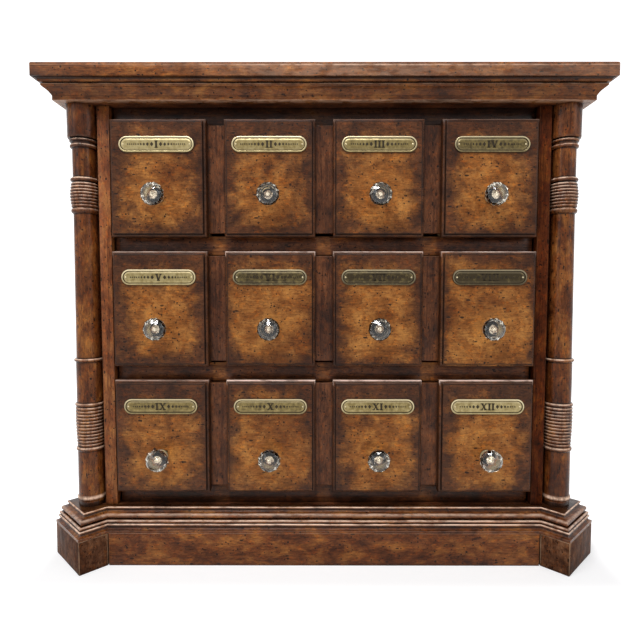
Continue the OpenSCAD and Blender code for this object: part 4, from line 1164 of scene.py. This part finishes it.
def screw_tree():
    """Slotted screws on points, their heads towards +Z before the tilt."""
    tree, entry = new_tree("screw_heads", {"Radius": 3.5 * MM, "Height": SCREW_HEAD,
                                           "Shank": 1.75 * MM, "Length": 25 * MM, "Tilt": 0.0})
    head = add(tree, "GeometryNodeMeshCylinder", {"Vertices": 24, "Side Segments": 2,
               "Radius": (entry, "Radius"), "Depth": (entry, "Height")})
    half = add(tree, "Math", {0: (entry, "Height"), 1: 0.5}, operation="MULTIPLY")
    up = add(tree, "CombineXYZ", {2: (half, 0)})
    raised = add(tree, "GeometryNodeTransform", {"Geometry": (head, 0), "Translation": (up, 0)})
    slot_size = add(tree, "CombineXYZ", {0: 9 * MM, 1: 0.9 * MM, 2: 1.6 * MM})
    cutter = add(tree, "GeometryNodeMeshCube", {"Size": (slot_size, 0)})
    slot_up = add(tree, "CombineXYZ", {2: (entry, "Height")})
    across = add(tree, "GeometryNodeTransform", {"Geometry": (cutter, 0),
                 "Translation": (slot_up, 0)})
    cut = add(tree, "GeometryNodeMeshBoolean", {"Mesh 1": (raised, 0), "Mesh 2": (across, 0)},
              operation="DIFFERENCE")
    shank = add(tree, "GeometryNodeMeshCylinder", {"Vertices": 16, "Radius": (entry, "Shank"),
                "Depth": (entry, "Length")})
    down = add(tree, "Math", {0: (entry, "Length"), 1: -0.5}, operation="MULTIPLY")
    low = add(tree, "CombineXYZ", {2: (down, 0)})
    sunk = add(tree, "GeometryNodeTransform", {"Geometry": (shank, 0), "Translation": (low, 0)})
    join = add(tree, "GeometryNodeJoinGeometry", {"Geometry": (cut, 0)})
    tree.links.new(sunk.outputs[0], join.inputs[0])
    lean = add(tree, "CombineXYZ", {0: (entry, "Tilt")})
    spread = add(tree, "GeometryNodeInstanceOnPoints", {"Points": (entry, "Geometry"),
                 "Instance": (join, 0), "Rotation": (lean, 0)})
    spin = add(tree, "FunctionNodeRandomValue", {2: 0.0, 3: 3.1, "Seed": 5}, data_type="FLOAT")
    twist = add(tree, "CombineXYZ", {2: (spin, 1)})
    turned = add(tree, "GeometryNodeRotateInstances", {"Instances": (spread, 0),
                 "Rotation": (twist, 0)})
    return closing(tree, entry, turned)


def knob_tree(template):
    """Copies of one cut knob on points, each turned by its own angle."""
    tree, entry = new_tree("knob_copies", {"Turn": 6.28})
    source = add(tree, "GeometryNodeObjectInfo", {"Object": template})
    spin = add(tree, "FunctionNodeRandomValue", {2: 0.0, 3: (entry, "Turn"), "Seed": 11},
               data_type="FLOAT")
    twist = add(tree, "CombineXYZ", {1: (spin, 1)})
    spread = add(tree, "GeometryNodeInstanceOnPoints", {"Points": (entry, "Geometry"),
                 "Instance": (source, "Geometry"), "Rotation": (twist, 0)})
    return closing(tree, entry, spread)


def instanced(name, places, tree, sizes, finish, body, nodes, slot, sharp, **layers):
    """Runs a node tree on points and keeps the result as a plain mesh piece."""
    cloud = bpy.data.meshes.new(name + "_points")
    cloud.from_pydata([tuple(p) for p in places], [], [])
    carrier = bpy.data.objects.new(name + "_carrier", cloud)
    bpy.context.scene.collection.objects.link(carrier)
    modifier = carrier.modifiers.new("build", "NODES")
    modifier.node_group = tree
    given = {**sizes, "Material": material(finish)}
    for item in tree.interface.items_tree:
        if item.in_out == "INPUT" and item.name in given:
            modifier[item.identifier] = given[item.name]
    bpy.context.view_layer.update()
    depsgraph = bpy.context.evaluated_depsgraph_get()
    mesh = bpy.data.meshes.new_from_object(carrier.evaluated_get(depsgraph))
    mesh.name = name
    bpy.data.objects.remove(carrier)
    if not mesh.vertices:
        raise RuntimeError(name + " came out empty")
    placed(name, mesh, body, nodes, sharp,
           {key: [value] * len(mesh.vertices) for key, value in layers.items()})


# ---------------------------------------------------------------- knobs and screws

class CHEST_OT_knobs(bpy.types.Operator):
    """Cuts the glass knobs and turns their brass mounts"""
    bl_idname = "chest.knobs"
    bl_label = "Glass knobs"

    def execute(self, context):
        count = context.scene.chest_fittings.facets
        low, high = solid_boxes("top_drawer_knobs")[0]
        face = solid_boxes("top_drawer_panels")[0][0].y
        template = self.template(count, (high.z - low.z) / 2, face - low.y, face - high.y)
        tree = knob_tree(template)
        for word in FRONTS:
            body = word + "_drawer"
            places = [((a.x + b.x) / 2, face, (a.z + b.z) / 2)
                      for a, b in solid_boxes(body + "_knobs")]
            instanced(body + "_glass_knobs", places, tree, {"Turn": 6.28}, "cut_glass", body,
                      [body + "_knobs"], "cut_glass", None)
            self.stars(body, places, (low.y + high.y) / 2, count)
            # Brass bases, with the bolts that hold them from inside the drawer
            bm = cad_shell(body + "_knob_mounts")
            make_piece(body + "_brass_mounts", bm, "aged_brass", body, [body + "_knob_mounts"],
                       "aged_brass", 32, wear=[0.2] * len(bm.verts),
                       patina=[0.45] * len(bm.verts))
        mesh = template.data
        bpy.data.objects.remove(template)
        bpy.data.meshes.remove(mesh)
        return {"FINISHED"}

    def template(self, count, radius, front, back):
        """One knob about the origin, its axis along -Y, back face at -back."""
        depth = front - back
        girdle = back + depth * 0.55
        # Distance out, share of the radius, and whether the ring is turned by half a facet
        levels = [
            (back, 0.47, 0), (back + depth * 0.06, 0.6, 0), (back + depth * 0.24, 0.86, 1),
            (girdle - depth * 0.08, 0.985, 0), (girdle + depth * 0.06, 1.0, 0),
            (girdle + depth * 0.2, 0.9, 1), (front - depth * 0.13, 0.66, 0),
            (front - depth * 0.03, 0.42, 1), (front, 0.2, 0),
        ]
        bm = bmesh.new()

        def ring(size, out, shift=0.0):
            return [bm.verts.new((size * x, -out, size * z)) for x, z in circle(count, shift)]

        rows = [(ring(share * radius, out, 0.5 * half), half) for out, share, half in levels]
        for (a, half_a), (b, half_b) in zip(rows, rows[1:]):
            for i in range(count):
                j = (i + 1) % count
                if half_a == half_b:
                    bm.faces.new((a[i], a[j], b[j], b[i]))
                elif half_b:
                    bm.faces.new((a[i], a[j], b[i]))
                    bm.faces.new((a[j], b[j], b[i]))
                else:
                    bm.faces.new((a[i], b[j], b[i]))
                    bm.faces.new((a[i], a[j], b[j]))
        # The hole for the mount, 6 mm deep
        socket = [ring(SOCKET_RADIUS, out) for out in (back, back + 6 * MM)]
        loft(bm, [rows[0][0]] + socket)
        bm.faces.new(socket[1])
        bm.faces.new(rows[-1][0])
        bmesh.ops.recalc_face_normals(bm, faces=bm.faces)
        mesh = bpy.data.meshes.new("knob_template")
        bm.to_mesh(mesh)
        bm.free()
        made = bpy.data.objects.new("knob_template", mesh)
        bpy.context.scene.collection.objects.link(made)
        return made

    def stars(self, body, places, girdle, count):
        """The silvered points that are sealed behind each knob's middle."""
        bm = bmesh.new()
        for x, _, z in places:
            tip = bm.verts.new((x, girdle - 1.5 * MM, z))
            rows = []
            for radius, back in ((3.0, 0.6), (5.4, 3.6), (4.2, 5.2)):
                row = []
                for i, (across, up) in enumerate(circle(2 * count)):
                    reach = radius * MM * (1 if i % 2 else 0.86)
                    row.append(bm.verts.new((x + reach * across, girdle + back * MM,
                                             z + reach * up)))
                rows.append(row)
            for i in range(2 * count):
                bm.faces.new((tip, rows[0][i], rows[0][(i + 1) % (2 * count)]))
            loft(bm, rows)
            bm.faces.new(rows[-1])
        make_piece(body + "_silvered_stars", bm, "silvering", body, (), "cut_glass", 5)


class CHEST_OT_screws(bpy.types.Operator):
    """Sets the screws of the back panel and of the top"""
    bl_idname = "chest.screws"
    bl_label = "Screws"

    def execute(self, context):
        tree = screw_tree()
        # The axis that each kind of screw lies on, the way its head points, and its tilt
        for name, node, axis, way, tilt in (
                ("back_panel_screws", "back_screws", 1, 1, -math.pi / 2),
                ("top_board_screws", "top_screws", 2, -1, math.pi)):
            boxes = solid_boxes(node)
            places = []
            for low, high in boxes:
                spot = (low + high) / 2
                spot[axis] = (high if way > 0 else low)[axis] - way * SCREW_HEAD
                places.append(spot)
            length = boxes[0][1][axis] - boxes[0][0][axis] - SCREW_HEAD
            instanced(name, places, tree, {"Length": length, "Tilt": tilt}, "screw_steel",
                      "carcass", [node], "steel", 34)
        return {"FINISHED"}


# ---------------------------------------------------------------- stage

def aimed(place, way):
    """The matrix of a lamp or camera at a place that looks along a way."""
    turn = Vector(way).to_track_quat("-Z", "Y").to_matrix().to_4x4()
    return Matrix.Translation(Vector(place)) @ turn


class CHEST_OT_stage(bpy.types.Operator):
    """Sets the floor, the backdrop, the lamps and the camera"""
    bl_idname = "chest.stage"
    bl_label = "Stage"

    def execute(self, context):
        stage = context.scene.chest_stage
        scene = context.scene
        self.floor()
        self.world(scene, stage.room)
        for name, place, wide, tall, power in (
                ("lamp_above", (-0.35, -1.15, 2.1), 1.5, 0.32, stage.key),
                ("lamp_left", (-2.0, -1.6, 1.3), 1.0, 1.2, stage.fill),
                ("lamp_right", (2.0, -1.6, 1.3), 1.0, 1.2, stage.fill)):
            data = bpy.data.lights.new(name, "AREA")
            data.shape = "RECTANGLE"
            data.size = wide
            data.size_y = tall
            data.energy = power
            lamp = bpy.data.objects.new(name, data)
            scene.collection.objects.link(lamp)
            # Each is aimed at the middle of the drawers
            lamp.matrix_world = aimed(place, Vector((0, -0.1, 0.45)) - Vector(place))
        data = bpy.data.cameras.new("camera")
        data.sensor_width = 36.0
        data.sensor_fit = "HORIZONTAL"
        data.lens = stage.lens
        camera = bpy.data.objects.new("camera", data)
        scene.collection.objects.link(camera)
        camera.matrix_world = (aimed(stage.eye, stage.heading)
                               @ Matrix.Rotation(stage.roll, 4, "Z"))
        scene.camera = camera
        scene.view_settings.view_transform = "Standard"
        return {"FINISHED"}

    def floor(self):
        """A pale floor that turns up behind the chest in one sweep."""
        bm = bmesh.new()
        line = [(-6.0, 0.0), (2.2, 0.0)]
        for k in range(1, 13):
            turn = math.radians(90 * k / 12)
            line.append((2.2 + 0.8 * math.sin(turn), 0.8 - 0.8 * math.cos(turn)))
        line.append((3.0, 5.0))
        rows = [[bm.verts.new((x, y, z)) for y, z in line] for x in (-7.0, 7.0)]
        loft(bm, rows, closed=False)
        bmesh.ops.recalc_face_normals(bm, faces=bm.faces)
        mesh = bpy.data.meshes.new("floor")
        bm.to_mesh(mesh)
        bm.free()
        mesh.shade_smooth()
        mesh.materials.append(self.paper())
        made = bpy.data.objects.new("floor", mesh)
        bpy.context.scene.collection.objects.link(made)

    def paper(self):
        """Matt white paper that the camera sees as white, with the chest's own shadow."""
        made, tree, place = new_material("backdrop_paper")
        # How far a spot of the floor lies from the chest's footprint, in metres
        folded = add(tree, "VectorMath", {0: place}, operation="ABSOLUTE")
        past = add(tree, "VectorMath", {0: (folded, 0), 1: (0.47, 0.25, 0.0)},
                   operation="SUBTRACT")
        outside = add(tree, "VectorMath", {0: (past, 0), 1: (0.0, 0.0, 0.0)}, operation="MAXIMUM")
        away = add(tree, "VectorMath", {0: (outside, 0)}, operation="LENGTH")
        bleached = add(tree, "MapRange", span((away, "Value"), 0.0, 0.09, 0.45, 1.0), **SMOOTH)
        plain = add(tree, "BsdfDiffuse", {"Color": linear("#e9e8e6")})
        shaded = add(tree, "BsdfDiffuse", {"Color": linear("#cfcfd0")})
        glow = add(tree, "Emission", {"Color": linear("#ffffff"),
                   "Strength": (bleached, 0)})
        both = add(tree, "AddShader", {0: (shaded, 0), 1: (glow, 0)})
        mix = add(tree, "MixShader", {0: (seen_directly(tree), 0), 1: (plain, 0), 2: (both, 0)})
        add(tree, "OutputMaterial", {"Surface": (mix, 0)})
        return made

    def world(self, scene, strength):
        """Even room light; white where the camera, gloss or glass looks at it."""
        scene.world = bpy.data.worlds.new("room")
        scene.world.use_nodes = True
        tree = scene.world.node_tree
        tree.nodes.clear()
        room = add(tree, "Background", {"Color": linear("#f4f5f7"),
                   "Strength": strength})
        white = add(tree, "Background", {"Color": linear("#ffffff"),
                    "Strength": 1.0})
        mix = add(tree, "MixShader", {0: (seen_directly(tree), 0), 1: (room, 0), 2: (white, 0)})
        add(tree, "OutputWorld", {"Surface": (mix, 0)})


# ---------------------------------------------------------------- add-on

class CHEST_PT_panel(bpy.types.Panel):
    """Lists the steps and the settings in the sidebar"""
    bl_idname = "CHEST_PT_panel"
    bl_label = "Chest"
    bl_space_type = "VIEW_3D"
    bl_region_type = "UI"
    bl_category = "Chest"

    def draw(self, context):
        for step in STEPS:
            self.layout.operator(step.bl_idname)
        for group in SETTINGS:
            box = self.layout.box()
            settings = getattr(context.scene, group)
            for key in settings.__annotations__:
                box.prop(settings, key)


SETTINGS = {"chest_wood": WoodSettings, "chest_fittings": FittingSettings,
            "chest_stage": StageSettings}
STEPS = (CHEST_OT_stage, CHEST_OT_top, CHEST_OT_columns, CHEST_OT_case, CHEST_OT_base,
         CHEST_OT_drawer_boxes, CHEST_OT_panels, CHEST_OT_plates, CHEST_OT_knobs,
         CHEST_OT_screws)
CLASSES = tuple(SETTINGS.values()) + STEPS + (CHEST_PT_panel,)


def register():
    """Registers the classes and the scene's settings."""
    for cls in CLASSES:
        bpy.utils.register_class(cls)
    for group, cls in SETTINGS.items():
        setattr(bpy.types.Scene, group, PointerProperty(type=cls))


def unregister():
    """Takes the settings and classes away again."""
    for group in SETTINGS:
        delattr(bpy.types.Scene, group)
    for cls in reversed(CLASSES):
        bpy.utils.unregister_class(cls)


def main():
    """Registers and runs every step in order."""
    register()
    noise.seed_set(7)
    for step in STEPS:
        group, name = step.bl_idname.split(".")
        getattr(getattr(bpy.ops, group), name)()
    bpy.context.view_layer.update()


if __name__ == "__main__":
    main()
